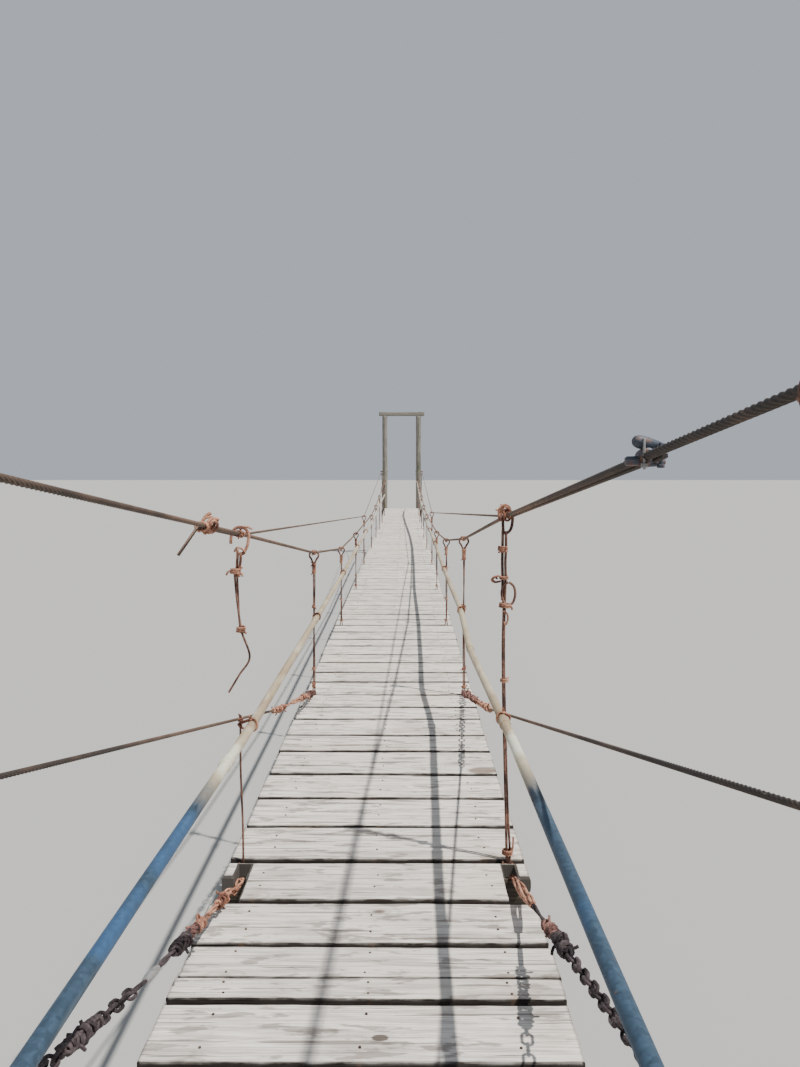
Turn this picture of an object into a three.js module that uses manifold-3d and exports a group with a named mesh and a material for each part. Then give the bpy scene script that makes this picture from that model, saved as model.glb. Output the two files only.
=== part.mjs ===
// Rope suspension footbridge. Two pairs of timber posts carry two wire ropes a side, wire hangers
// drop from the ropes to timber cross-beams, and short plank decks lie from beam to beam.
// Millimetres. X runs across the bridge, Y along it to the far bank, and Z is up from the ground.
import * as THREE from "three";
import { mergeVertices } from "three/addons/utils/BufferGeometryUtils.js";
import Module from "manifold-3d";

const wasm = await Module();
wasm.setup();

// The cross lines are the two towers, lines 0 and 12, and the eleven hung cross-beams between them.
const bayLength = 2440;
const bayCount = 12;
const span = bayLength * bayCount;
const datum = 1200; // top of the lowest boards above the ground
const contactGap = 0.4; // between pieces that rest on each other
const joinOverlap = 1; // between solids that are joined into one piece

// Rise of the walking surface above the datum at each cross line.
const deckRise = [150, 20, 0, 0, 30, 40, 90, 110, 130, 145, 165, 220, 370];
const deck = {
  width: 1220,
  boardThickness: 50,
  jointGap: 16,
  towerClearance: 95,
  stringerWidth: 45,
  stringerDepth: 95,
  stringerX: [-440, 0, 440],
  stringerInset: 103,
};
const beam = { halfLength: 630, width: 100, depth: 120 };

// Rise of the rope's centre above the datum at each cross line. The main rope has no hanger at
// line 6, where the second rope carries the beam instead.
const secondLine = 6;
const mainRope = {
  radius: 9,
  hangX: 535,
  splayX: { left: { 1: 585, 2: 560 }, right: { 1: 560 } }, // towards the near saddles
  rise: {
    left: [1980, 1640, 1331, 1010, 810, 775, null, 760, 850, 995, 1160, 1350, 1560],
    right: [1980, 1680, 1408, 1110, 895, 795, null, 770, 850, 995, 1160, 1350, 1560],
  },
};
const secondRope = {
  radius: 6,
  besideX: 15.5,
  belowMain: 6,
  hangX: 552,
  anchorX: 765,
  startY: { left: -10345, right: -11630 },
  looseEnd: { x: -623, y: -10430, rise: 1313 },
  hangRise: { left: 875, right: 935 },
  towerRise: 1655,
};

// Posts, saddle bolts and ground anchors.
const post = { x: 580, radius: 90, nearHeight: 4600, farHeight: 4750 };
const header = { halfLength: 790, size: 140 };
const sill = { halfLength: 700, width: 96, depth: 200, offset: 90.5 };
const bolt = {
  ropeX: 690,
  radius: 14,
  endX: 720,
  washerRadius: 34,
  washerThickness: 6,
  bendPoints: 5,
  bendClearance: 0.8,
};
const stayBolt = {
  radius: 10,
  endX: 716,
  chainRise: { left: 1460, right: 1300 },
  ropeRise: { left: 1795, right: 1820 },
};
const anchor = {
  y: span / 2 + 3900,
  halfLength: 950,
  width: 520,
  height: 480,
  holdZ: 380,
  rodRadius: 12,
  socketRadius: 25,
  socketStart: 450,
  rodEnd: 640,
  ropeStart: 700,
};

// Hangers: an open ring over the rope and a doubled wire down to the beam.
const hanger = {
  wireRadius: 4,
  ringRadius: 32,
  ringWire: 4.5,
  ringSides: 14,
  ringClearance: 0.6,
  railGap: 0.5,
};
const brokenLine = 2;
const stub = { rise: 590, footX: 546, topX: 558 };

// Handrail pipes, tied to the inner faces of the hangers. Each point is a cross line, or a place
// between two, with the pipe's rise above the datum.
const railRadius = 19;
const rail = {
  radius: railRadius,
  x: mainRope.hangX - hanger.wireRadius - hanger.railGap - railRadius,
  left: [
    [0.035, 655],
    [1, 616],
    [1.26, 602],
    [1.5, 585],
    [1.96, 548],
    [2.96, 553],
    [4.03, 564],
    [5.04, 604],
    [6.04, 638],
    [7.05, 668],
    [8.06, 743],
    [9.07, 814],
    [10.07, 874],
    [10.74, 910],
  ],
  right: [
    [0.035, 665],
    [1, 634],
    [1.37, 618],
    [1.87, 594],
    [2.66, 500],
    [3.03, 612],
    [3.4, 600],
    [4.04, 605],
    [5.05, 652],
    [6.07, 660],
    [7.08, 673],
    [8.09, 755],
    [9.11, 891],
    [10.12, 1053],
    [11.13, 1236],
    [11.5, 1302],
  ],
};

// Stays that run from the near posts down to the feet of the hangers at lines 2 and 3. The chain
// at line 2 lies on its cross-beam, where the boards are notched for it. On the left it dips into
// the notch, bends up over the edge of the boards and sags on its way to the post.
const stay = {
  chainRadius: 14,
  ropeRadius: 6.5,
  chainLength: 1450,
  chainSag: 48,
  ropeOverlap: 0.02,
  boltGap: 14.3,
  foot: { 2: { back: 30, rise: -34.5 }, 3: { back: 8.6, rise: 16.3 } },
  leftBends: [
    { back: 200, rise: -32 },
    { back: 298, rise: 18.5 },
    { back: 570, rise: 83 },
    { back: 1170, rise: 241 },
    { back: 1670, rise: 406 },
  ],
};

// Cut through the outer ends of the last board before line 2, measured back from its far edge: a
// notch out to the deck's edge, and a slot that runs on to a strip left along the far edge.
const notch = { bay: 2, x: 500, from: 132, to: 297, slotEndX: 555, strip: 16 };

const clip = { length: 60, width: 66, height: 50, y: -11555 };
const lashing = { length: 80, width: 46, height: 38, y: -10295 };
const bandClearance = 0.6; // between a band's opening and the ropes in it

const timber = { color: 0x7d7a72, roughness: 0.9, metalness: 0 };
const boards = { color: 0xb9b4aa, roughness: 0.88, metalness: 0 };
const rust = { color: 0x7a3f28, roughness: 0.85, metalness: 0.4 };
const ropeSteel = { color: 0x54413a, roughness: 0.75, metalness: 0.5 };
const zinc = { color: 0xa09a8a, roughness: 0.55, metalness: 0.7 };
const concrete = { color: 0x9a968c, roughness: 0.95, metalness: 0 };

const bridge = new THREE.Group();
const sides = { left: -1, right: 1 };

const lineY = (line) => -span / 2 + line * bayLength;
const mainRopeX = (side, line) => sides[side] * (mainRope.splayX[side][line] ?? mainRope.hangX);
const point = (x, y, z) => new THREE.Vector3(x, y, z);

// A path straight from point to point, so that a swept section turns exactly at each of them.
class StraightRun extends THREE.Curve {
  constructor(points) {
    super();
    this.points = points;
  }
  getSpacedPoints() {
    return this.points;
  }
  getTangentAt(u) {
    const last = this.points.length - 1;
    const at = Math.round(u * last);
    const before = this.points[Math.max(at - 1, 0)];
    const here = this.points[at];
    const after = this.points[Math.min(at + 1, last)];
    const arriving = here.clone().sub(before).normalize();
    const leaving = after.clone().sub(here).normalize();
    return arriving.add(leaving).normalize();
  }
}

// A closed tube along a run of points. The radius is measured to the flats of its section.
function tube(points, radius, sideCount = 8) {
  const section = new THREE.Shape();
  const cornerRadius = radius / Math.cos(Math.PI / sideCount);
  for (let i = 0; i < sideCount; i += 1) {
    const angle = ((i + 0.5) * 2 * Math.PI) / sideCount;
    const x = cornerRadius * Math.cos(angle);
    const y = cornerRadius * Math.sin(angle);
    if (i === 0) section.moveTo(x, y);
    else section.lineTo(x, y);
  }
  section.closePath();
  return new THREE.ExtrudeGeometry(section, {
    steps: points.length - 1,
    extrudePath: new StraightRun(points),
    bevelEnabled: false,
  });
}

function box(width, length, height, x, y, z) {
  return new THREE.BoxGeometry(width, length, height).translate(x, y, z);
}

function cylinderX(radius, fromX, toX, y, z, sideCount = 16) {
  const length = Math.abs(toX - fromX);
  const shape = new THREE.CylinderGeometry(radius, radius, length, sideCount);
  return shape.rotateZ(Math.PI / 2).translate((fromX + toX) / 2, y, z);
}

function solidOf(geometry) {
  const bare = geometry.clone();
  bare.deleteAttribute("normal");
  bare.deleteAttribute("uv");
  const merged = mergeVertices(bare, 1e-3);
  return new wasm.Manifold(
    new wasm.Mesh({
      numProp: 3,
      vertProperties: merged.attributes.position.array,
      triVerts: new Uint32Array(merged.index.array),
    }),
  );
}

function geometryOf(solid) {
  const mesh = solid.getMesh();
  const geometry = new THREE.BufferGeometry();
  const positions = new Float32Array(mesh.vertProperties);
  geometry.setAttribute("position", new THREE.BufferAttribute(positions, 3));
  geometry.setIndex(new THREE.BufferAttribute(new Uint32Array(mesh.triVerts), 1));
  geometry.computeVertexNormals();
  return geometry;
}

// One closed solid from several overlapping ones.
function join(geometries) {
  return geometryOf(geometries.map(solidOf).reduce((sum, solid) => sum.add(solid)));
}

function cut(geometry, cutters) {
  const start = solidOf(geometry);
  return geometryOf(cutters.map(solidOf).reduce((rest, solid) => rest.subtract(solid), start));
}

function addPiece(parent, name, geometry, finish) {
  const mesh = new THREE.Mesh(geometry, new THREE.MeshStandardMaterial(finish));
  mesh.name = name;
  parent.add(mesh);
  return mesh;
}

// Top of the deck at a place in bay number bay, which runs straight between its two lines.
function deckTop(bay, y) {
  const share = (y - lineY(bay)) / bayLength;
  return datum + THREE.MathUtils.lerp(deckRise[bay], deckRise[bay + 1], share);
}

function deckTilt(bay) {
  return Math.atan2(deckRise[bay + 1] - deckRise[bay], bayLength);
}

// Lowest point of the boards' underside over a bearer that lies from y0 to y1.
function boardUnderside(bay, y0, y1) {
  const drop = deck.boardThickness / Math.cos(deckTilt(bay));
  return Math.min(deckTop(bay, y0), deckTop(bay, y1)) - drop;
}

// The notch and the slot of both sides, cut through a plate that ends at farY.
function notchBoards(plate, farY) {
  const height = 3 * deck.boardThickness;
  const outerX = deck.width;
  const cuts = [];
  for (const sign of Object.values(sides)) {
    for (const [endX, from, to] of [
      [outerX, notch.from, notch.to],
      [notch.slotEndX, notch.strip, notch.from + joinOverlap],
    ]) {
      const x = (sign * (notch.x + endX)) / 2;
      cuts.push(box(endX - notch.x, to - from, height, x, farY - (from + to) / 2, 0));
    }
  }
  return cut(plate, cuts);
}

// Deck bays: the boards as one plate on three stringers.
function addDeck() {
  for (let bay = 0; bay < bayCount; bay += 1) {
    const startGap = bay === 0 ? deck.towerClearance : deck.jointGap / 2;
    const endGap = bay === bayCount - 1 ? deck.towerClearance : deck.jointGap / 2;
    const y0 = lineY(bay) + startGap;
    const y1 = lineY(bay + 1) - endGap;
    const tilt = deckTilt(bay);
    const length = (y1 - y0) / Math.cos(tilt);
    const thickness = deck.boardThickness;
    const plate = box(deck.width, length, thickness, 0, 0, -thickness / 2);
    const stringerLength = length - 2 * deck.stringerInset;
    const stringers = deck.stringerX.map((x) => {
      const z = -thickness + joinOverlap - deck.stringerDepth / 2;
      return box(deck.stringerWidth, stringerLength, deck.stringerDepth, x, 0, z);
    });
    const name = "deck_bay_" + String(bay + 1).padStart(2, "0");
    const notched = bay + 1 === notch.bay ? notchBoards(plate, length / 2) : plate;
    const mesh = addPiece(bridge, name, join([notched, ...stringers]), boards);
    const middle = (y0 + y1) / 2;
    mesh.position.set(0, middle, deckTop(bay, middle));
    mesh.rotation.x = tilt;
  }
}

// Height of the top of a cross-beam, just under both decks that meet on it.
function beamTop(line) {
  const half = beam.width / 2;
  const before = boardUnderside(line - 1, lineY(line) - half, lineY(line));
  const after = boardUnderside(line, lineY(line), lineY(line) + half);
  return Math.min(before, after) - contactGap;
}

// The ring hangs on the rope, whose top lies just under the flat at the top of the ring's inside.
function hangerRing(x, ropeZ, ropeRadius) {
  const { ringRadius, ringWire, ringSides } = hanger;
  const inner = (ringRadius - ringWire) * Math.cos(Math.PI / ringSides);
  const z = ropeZ + ropeRadius + hanger.ringClearance - inner;
  const ring = new THREE.TorusGeometry(ringRadius, ringWire, 6, ringSides);
  ring.rotateX(Math.PI / 2).translate(x, 0, z);
  return { ring, bottom: z - hanger.ringRadius };
}

function hangerPlace(side, line) {
  if (line === secondLine) {
    const rise = secondRope.hangRise[side];
    return { x: sides[side] * secondRope.hangX, z: datum + rise, radius: secondRope.radius };
  }
  const rise = mainRope.rise[side][line];
  return { x: mainRopeX(side, line), z: datum + rise, radius: mainRope.radius };
}

// Stirrups: a cross-beam with the two hangers that carry it.
function addStirrups() {
  for (let line = 1; line < bayCount; line += 1) {
    const top = beamTop(line);
    const pieces = [box(2 * beam.halfLength, beam.width, beam.depth, 0, 0, top - beam.depth / 2)];
    for (const side of Object.keys(sides)) {
      const place = hangerPlace(side, line);
      const broken = line === brokenLine && side === "left";
      const foot = top - beam.depth / 2;
      if (broken) {
        const run = [point(-stub.footX, 0, foot), point(-stub.topX, 0, datum + stub.rise)];
        pieces.push(tube(run, hanger.wireRadius));
        continue;
      }
      const { ring, bottom } = hangerRing(place.x, place.z, place.radius);
      const wire = [point(place.x, 0, foot), point(place.x, 0, bottom)];
      pieces.push(tube(wire, hanger.wireRadius), ring);
    }
    const name = "stirrup_" + String(line).padStart(2, "0");
    const mesh = addPiece(bridge, name, join(pieces), rust);
    mesh.position.set(0, lineY(line), 0);
  }
}

// The upper half of the snapped hanger, which dangles from its ring, bent and free.
function addBrokenHanger() {
  const place = hangerPlace("left", brokenLine);
  const { ring, bottom } = hangerRing(place.x, place.z, place.radius);
  const wire = [
    point(place.x, 0, bottom + joinOverlap),
    point(-577, -4, datum + 1178),
    point(-568, -8, datum + 1060),
    point(-553, -14, datum + 942),
    point(-517, -18, datum + 832),
    point(-557, -26, datum + 762),
    point(-600, -30, datum + 690),
  ];
  const piece = join([ring, tube(wire, hanger.wireRadius, 6)]);
  const mesh = addPiece(bridge, "hanger_broken_left", piece, rust);
  mesh.position.set(0, lineY(brokenLine), 0);
}

// Points of a rope that bends over a saddle bolt, from the slope it arrives at to the slope it
// leaves at. Slopes are angles above the level, looking along +Y.
function overBolt(x, y, z, ropeRadius, arrive, leave) {
  const reach = bolt.radius + ropeRadius + bolt.bendClearance;
  const points = [];
  for (let i = 0; i < bolt.bendPoints; i += 1) {
    const slope = THREE.MathUtils.lerp(arrive, leave, i / (bolt.bendPoints - 1));
    points.push(point(x, y - reach * Math.sin(slope), z + reach * Math.cos(slope)));
  }
  return points;
}

// Rope end at a ground anchor, on the line from the anchor's hold to the saddle.
function anchorLine(end, saddleZ) {
  const hold = point(0, end * anchor.y, anchor.holdZ);
  const saddle = point(0, (end * span) / 2, saddleZ);
  const direction = saddle.clone().sub(hold).normalize();
  return { hold, direction };
}

function anchorRopeEnd(end, saddleZ, x) {
  const { hold, direction } = anchorLine(end, saddleZ);
  const place = hold.addScaledVector(direction, anchor.ropeStart + contactGap);
  return place.setX(x);
}

// A saddle bolt's centre is lower than the rope's centre by the rope's and the bolt's radius.
function saddleBoltZ(rise, ropeRadius) {
  return datum + rise - ropeRadius - bolt.radius - contactGap;
}

function slopeOf(from, to) {
  return Math.atan2(to.z - from.z, to.y - from.y);
}

function addMainRope(side) {
  const sign = sides[side];
  const rise = mainRope.rise[side];
  const hung = [];
  rise.forEach((height, line) => {
    if (height === null || line === 0 || line === bayCount) return;
    hung.push(point(mainRopeX(side, line), lineY(line), datum + height));
  });
  const boltX = sign * bolt.ropeX;
  const nearZ = datum + rise[0];
  const farZ = datum + rise[bayCount];
  const nearEnd = anchorRopeEnd(-1, nearZ, boltX);
  const farEnd = anchorRopeEnd(1, farZ, boltX);
  const nearTop = point(boltX, lineY(0), nearZ);
  const farTop = point(boltX, lineY(bayCount), farZ);
  const nearBend = overBolt(
    boltX,
    lineY(0),
    saddleBoltZ(rise[0], mainRope.radius),
    mainRope.radius,
    slopeOf(nearEnd, nearTop),
    slopeOf(nearTop, hung[0]),
  );
  const farBend = overBolt(
    boltX,
    lineY(bayCount),
    saddleBoltZ(rise[bayCount], mainRope.radius),
    mainRope.radius,
    slopeOf(hung.at(-1), farTop),
    slopeOf(farTop, farEnd),
  );
  const run = [nearEnd, ...nearBend, ...hung, ...farBend, farEnd];
  addPiece(bridge, "main_rope_" + side, tube(run, mainRope.radius), ropeSteel);
}

// Centre of the main rope at a place between two of its hangers.
function mainRopePlace(side, line, y) {
  const rise = mainRope.rise[side];
  const share = (y - lineY(line)) / bayLength;
  const x = THREE.MathUtils.lerp(mainRopeX(side, line), mainRopeX(side, line + 1), share);
  return point(x, y, datum + THREE.MathUtils.lerp(rise[line], rise[line + 1], share));
}

// The second rope starts beside the main one, leaves it at the second beam and has one hanger.
function addSecondRope(side) {
  const sign = sides[side];
  const beside = point(sign * secondRope.besideX, 0, -secondRope.belowMain);
  const start = mainRopePlace(side, 1, secondRope.startY[side]).add(beside);
  const parting = mainRopePlace(side, 1, lineY(2)).add(beside);
  const hung = point(
    sign * secondRope.hangX,
    lineY(secondLine),
    datum + secondRope.hangRise[side],
  );
  const boltX = sign * bolt.ropeX;
  const topZ = datum + secondRope.towerRise;
  const top = point(boltX, lineY(bayCount), topZ);
  const end = anchorRopeEnd(1, topZ, sign * secondRope.anchorX);
  const bend = overBolt(
    boltX,
    lineY(bayCount),
    saddleBoltZ(secondRope.towerRise, secondRope.radius),
    secondRope.radius,
    slopeOf(hung, top),
    slopeOf(top, end),
  );
  const run = [start, parting, hung, ...bend, end];
  if (side === "left") {
    const { x, y, rise } = secondRope.looseEnd;
    run.unshift(point(x, y, datum + rise));
  }
  addPiece(bridge, "second_rope_" + side, tube(run, secondRope.radius), ropeSteel);
}

// A clamp or a lashing around both ropes, with an opening that they pass through.
function addRopeBand(name, side, size, finish) {
  const sign = sides[side];
  const left = -mainRope.radius - bandClearance;
  const right = secondRope.besideX + secondRope.radius + bandClearance;
  const low = -secondRope.belowMain - secondRope.radius - bandClearance;
  const high = mainRope.radius + bandClearance;
  const middleX = (left + right) / 2;
  const middleZ = (low + high) / 2;
  const outline = new THREE.Shape();
  outline.moveTo(middleX - size.width / 2, middleZ - size.height / 2);
  outline.lineTo(middleX + size.width / 2, middleZ - size.height / 2);
  outline.lineTo(middleX + size.width / 2, middleZ + size.height / 2);
  outline.lineTo(middleX - size.width / 2, middleZ + size.height / 2);
  outline.closePath();
  const eye = new THREE.Path();
  eye.moveTo(left, low);
  eye.lineTo(left, high);
  eye.lineTo(right, high);
  eye.lineTo(right, low);
  eye.closePath();
  outline.holes.push(eye);
  const band = new THREE.ExtrudeGeometry(outline, { depth: size.length, bevelEnabled: false });
  band.translate(0, 0, -size.length / 2).rotateX(Math.PI / 2);
  if (sign < 0) band.rotateZ(Math.PI);
  const mesh = addPiece(bridge, name, band, finish);
  const along = mainRopePlace(side, 1, lineY(2)).sub(mainRopePlace(side, 1, lineY(1)));
  mesh.position.copy(mainRopePlace(side, 1, size.y));
  mesh.rotation.x = Math.atan2(along.z, along.y);
  mesh.rotation.z = -Math.atan2(along.x, along.y);
}

// Posts with the bolts that stand out of their outer faces.
function addPosts(end, endName, height, boltsOf) {
  const portal = new THREE.Group();
  portal.position.set(0, (end * span) / 2, 0);
  bridge.add(portal);
  for (const [side, sign] of Object.entries(sides)) {
    const shaft = new THREE.CylinderGeometry(post.radius, post.radius, height, 20);
    shaft.rotateX(Math.PI / 2).translate(sign * post.x, 0, height / 2);
    const pieces = [shaft];
    for (const { radius, endX, z } of boltsOf(side)) {
      pieces.push(cylinderX(radius, sign * post.x, sign * endX, 0, z));
      const washerX = endX - bolt.washerThickness;
      const washerRadius = radius + bolt.washerRadius - bolt.radius;
      pieces.push(cylinderX(washerRadius, sign * washerX, sign * endX, 0, z));
    }
    addPiece(portal, `post_${endName}_${side}`, join(pieces), timber);
  }
  const headerZ = height + contactGap + header.size / 2;
  const top = box(2 * header.halfLength, header.size, header.size, 0, 0, headerZ);
  addPiece(portal, "header_" + endName, top, timber);
  const inner = end < 0 ? lineY(0) + sill.offset : lineY(bayCount) - sill.offset;
  const outer = inner - end * sill.width;
  const bay = end < 0 ? 0 : bayCount - 1;
  const sillTop = boardUnderside(bay, inner, outer) - contactGap;
  const y = (inner + outer) / 2 - (end * span) / 2;
  const bearer = box(2 * sill.halfLength, sill.width, sill.depth, 0, y, sillTop - sill.depth / 2);
  addPiece(portal, "sill_" + endName, bearer, timber);
}

// Ground anchors: a block with a rod and socket for each rope that it holds.
function addAnchor(end, endName, ropes) {
  const centreY = end * anchor.y;
  const length = 2 * anchor.halfLength;
  const pieces = [box(length, anchor.width, anchor.height, 0, centreY, anchor.height / 2)];
  for (const sign of Object.values(sides)) {
    for (const { rise, x } of ropes) {
      const { hold, direction } = anchorLine(end, datum + rise);
      const along = (distance) => {
        const place = hold.clone().addScaledVector(direction, distance);
        return place.setX(sign * x);
      };
      pieces.push(tube([along(0), along(anchor.rodEnd)], anchor.rodRadius, 8));
      const socket = [along(anchor.socketStart), along(anchor.ropeStart)];
      pieces.push(tube(socket, anchor.socketRadius, 10));
    }
  }
  addPiece(bridge, "anchor_" + endName, join(pieces), concrete);
}

// Handrails: galvanised pipe in straight lengths.
function addRail(side) {
  const sign = sides[side];
  const run = rail[side].map(([line, rise]) => point(sign * rail.x, lineY(line), datum + rise));
  addPiece(bridge, "handrail_" + side, tube(run, rail.radius, 12), zinc);
}

// A stay's line, from beside the hanger's foot to its bolt on the near post. Bends are places
// between the two ends, given by how far back from the line they are and their rise.
function stayRun(side, line, boltRise, bends = []) {
  const sign = sides[side];
  const { back, rise } = stay.foot[line];
  const foot = point(sign * mainRope.hangX, lineY(line) - back, datum + rise);
  const head = point(sign * bolt.ropeX, lineY(0) + stay.boltGap, datum + boltRise);
  const between = bends.map((bend) => {
    const y = lineY(line) - bend.back;
    const share = (y - foot.y) / (head.y - foot.y);
    return point(THREE.MathUtils.lerp(foot.x, head.x, share), y, datum + bend.rise);
  });
  return [foot, ...between, head];
}

function addStays(side) {
  const bends = side === "left" ? stay.leftBends : [];
  const chain = tube(stayRun(side, 2, stayBolt.chainRise[side], bends), stay.chainRadius, 6);
  addPiece(bridge, "chain_stay_" + side, chain, rust);
  const [foot, head] = stayRun(side, 3, stayBolt.ropeRise[side]);
  const change = foot.clone().lerp(head, stay.chainLength / foot.distanceTo(head));
  change.z -= stay.chainSag;
  const start = change.clone().lerp(foot, stay.ropeOverlap);
  const lower = tube([foot, change], stay.chainRadius, 6);
  const upper = tube([start, change, head], stay.ropeRadius, 8);
  addPiece(bridge, "rope_stay_" + side, join([lower, upper]), ropeSteel);
}

function nearBolts(side) {
  const { radius, endX, ropeRise, chainRise } = stayBolt;
  const saddleZ = saddleBoltZ(mainRope.rise[side][0], mainRope.radius);
  return [
    { radius: bolt.radius, endX: bolt.endX, z: saddleZ },
    { radius, endX, z: datum + ropeRise[side] },
    { radius, endX, z: datum + chainRise[side] },
  ];
}

function farBolts(side) {
  const mainZ = saddleBoltZ(mainRope.rise[side][bayCount], mainRope.radius);
  const secondZ = saddleBoltZ(secondRope.towerRise, secondRope.radius);
  return [mainZ, secondZ].map((z) => ({ radius: bolt.radius, endX: bolt.endX, z }));
}

addPosts(-1, "near", post.nearHeight, nearBolts);
addPosts(1, "far", post.farHeight, farBolts);
addAnchor(-1, "near", [{ rise: mainRope.rise.left[0], x: bolt.ropeX }]);
addAnchor(1, "far", [
  { rise: mainRope.rise.left[bayCount], x: bolt.ropeX },
  { rise: secondRope.towerRise, x: secondRope.anchorX },
]);
addDeck();
addStirrups();
addBrokenHanger();
for (const side of Object.keys(sides)) {
  addMainRope(side);
  addSecondRope(side);
  addRail(side);
  addStays(side);
}
addRopeBand("rope_clip_right", "right", clip, rust);
addRopeBand("rope_lashing_left", "left", lashing, rust);

export default bridge;
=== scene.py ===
import math
import random

import bmesh
import bpy
import numpy as np
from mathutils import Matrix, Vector, noise


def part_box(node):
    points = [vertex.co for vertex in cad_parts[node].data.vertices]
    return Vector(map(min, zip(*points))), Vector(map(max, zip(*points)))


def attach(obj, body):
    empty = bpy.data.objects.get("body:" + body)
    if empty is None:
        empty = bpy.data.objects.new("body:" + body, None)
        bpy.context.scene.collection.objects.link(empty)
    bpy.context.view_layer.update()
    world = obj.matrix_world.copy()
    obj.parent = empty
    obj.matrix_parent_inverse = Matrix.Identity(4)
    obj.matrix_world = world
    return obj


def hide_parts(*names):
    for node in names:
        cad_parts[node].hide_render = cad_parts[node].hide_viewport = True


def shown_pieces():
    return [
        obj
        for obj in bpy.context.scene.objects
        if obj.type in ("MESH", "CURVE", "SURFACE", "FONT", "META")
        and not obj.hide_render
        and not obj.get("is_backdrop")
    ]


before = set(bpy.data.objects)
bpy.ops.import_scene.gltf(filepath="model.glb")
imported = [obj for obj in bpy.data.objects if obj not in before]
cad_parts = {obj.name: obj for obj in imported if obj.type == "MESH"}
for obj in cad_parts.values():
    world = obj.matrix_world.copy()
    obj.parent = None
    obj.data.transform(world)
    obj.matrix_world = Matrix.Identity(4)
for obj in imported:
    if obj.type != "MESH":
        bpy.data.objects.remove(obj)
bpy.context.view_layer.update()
sides = {"left": -1, "right": 1}
upward = Vector((0, 0, 1))

# The camera stands over the first bay and looks along the deck. Pixels are those of the photograph.
view = {
    "x": 0.115,
    "y": -13.03,
    "z": 2.78,
    "focalPixels": 800,
    "horizon": 473,
    "vanish": 405,
    "width": 800,
    "height": 1067,
    "sensor": 36,
}


def addObject(name, data):
    made = bpy.data.objects.new(name, data)
    bpy.context.scene.collection.objects.link(made)
    return made


def addCamera():
    lens = bpy.data.cameras.new("walkerEye")
    lens.sensor_width = view["sensor"]
    lens.lens = view["sensor"] * view["focalPixels"] / view["height"]
    lens.clip_start, lens.clip_end = 0.02, 400
    lens.shift_y = -(view["height"] / 2 - view["horizon"]) / view["height"]  # held level
    eye = addObject("walkerEye", lens)
    eye.location = (view["x"], view["y"], view["z"])
    yaw = math.atan((view["vanish"] - view["width"] / 2) / view["focalPixels"])
    eye.rotation_euler = (math.pi / 2, 0, yaw)
    bpy.context.scene.camera = eye


addCamera()


# Places read from the frame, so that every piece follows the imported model.
def nodePoints(node):
    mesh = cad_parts[node].data
    flat = np.zeros(len(mesh.vertices) * 3, np.float32)
    mesh.vertices.foreach_get("co", flat)
    return np.unique(np.round(flat.reshape(-1, 3), 5), axis=0)


def footPoints(node):
    points = nodePoints(node)
    return points[points[:, 2] < 0.001]


def clusters(points, axis, gap=0.03):
    points = points[np.argsort(points[:, axis])]
    breaks = np.nonzero(np.diff(points[:, axis]) > gap)[0] + 1
    return [Vector(group.mean(axis=0)) for group in np.split(points, breaks)]


def boltEnds(node):
    points = nodePoints(node)
    return clusters(points[np.abs(points[:, 0]) > 0.7], 2, 0.02)


def beamBox(line):
    points = nodePoints(f"stirrup_{line:02d}")
    wide = points[np.abs(points[:, 0]) > 0.625]
    return Vector(wide.min(axis=0)), Vector(wide.max(axis=0))


def deckEnds(bay):
    points = nodePoints(f"deck_bay_{bay:02d}")
    near = points[points[:, 1] < points[:, 1].min() + 0.02]
    far = points[points[:, 1] > points[:, 1].max() - 0.02]
    return [Vector((0, *end[np.argmax(end[:, 2])][1:])) for end in (near, far)]


def middleY(node):
    low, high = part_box(node)
    return (low.y + high.y) / 2


lineCount = 12
towerY = {end: middleY(f"header_{end}") for end in ("near", "far")}
bayLength = (towerY["far"] - towerY["near"]) / lineCount
saddleBolts = [place for end in towerY for side in sides for place in boltEnds(f"post_{end}_{side}")]
ropeGap = {"boltRadius": 0.014, "play": 0.0008}


def lineY(line):
    return towerY["near"] + line * bayLength


# Centre line of a rope. Where it bends over a saddle bolt it follows the bolt round.
def ropePath(node, radius):
    run = clusters(nodePoints(node), 1)
    reach = ropeGap["boltRadius"] + radius + ropeGap["play"]
    path = []
    for index, place in enumerate(run):
        near = [b for b in saddleBolts if (b - place).length < 0.06 and index not in (0, len(run) - 1)]
        if not near:
            path.append(place)
            continue
        before, after = run[index - 1], run[index + 1]
        arrive = math.atan2(place.z - before.z, place.y - before.y)
        leave = math.atan2(after.z - place.z, after.y - place.y)
        for step in range(9):
            slope = arrive + (leave - arrive) * step / 8
            path.append(near[0] + Vector((0, -reach * math.sin(slope), reach * math.cos(slope))))
            path[-1].x = place.x
    return path


def along(path, y):
    for a, b in zip(path, path[1:]):
        if min(a.y, b.y) <= y <= max(a.y, b.y) and a.y != b.y:
            return a.lerp(b, (y - a.y) / (b.y - a.y))
    return min(path[0], path[-1], key=lambda end: abs(end.y - y)).copy()


def cutPath(path, fromY, toY):
    inner = [p for p in path if fromY < p.y < toY]
    start = [along(path, fromY)] if path[0].y < fromY else []
    end = [along(path, toY)] if path[-1].y > toY else []
    return start + inner + end


# A place on the path and the directions ahead, across and up there.
def frameOn(path, y):
    ahead = (along(path, y + 0.05) - along(path, y - 0.05)).normalized()
    across = ahead.cross(upward).normalized()
    return along(path, y), ahead, across, across.cross(ahead)


# The direction at an angle round, from across towards up.
def spoke(across, up, angle):
    return across * math.cos(angle) + up * math.sin(angle)


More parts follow.
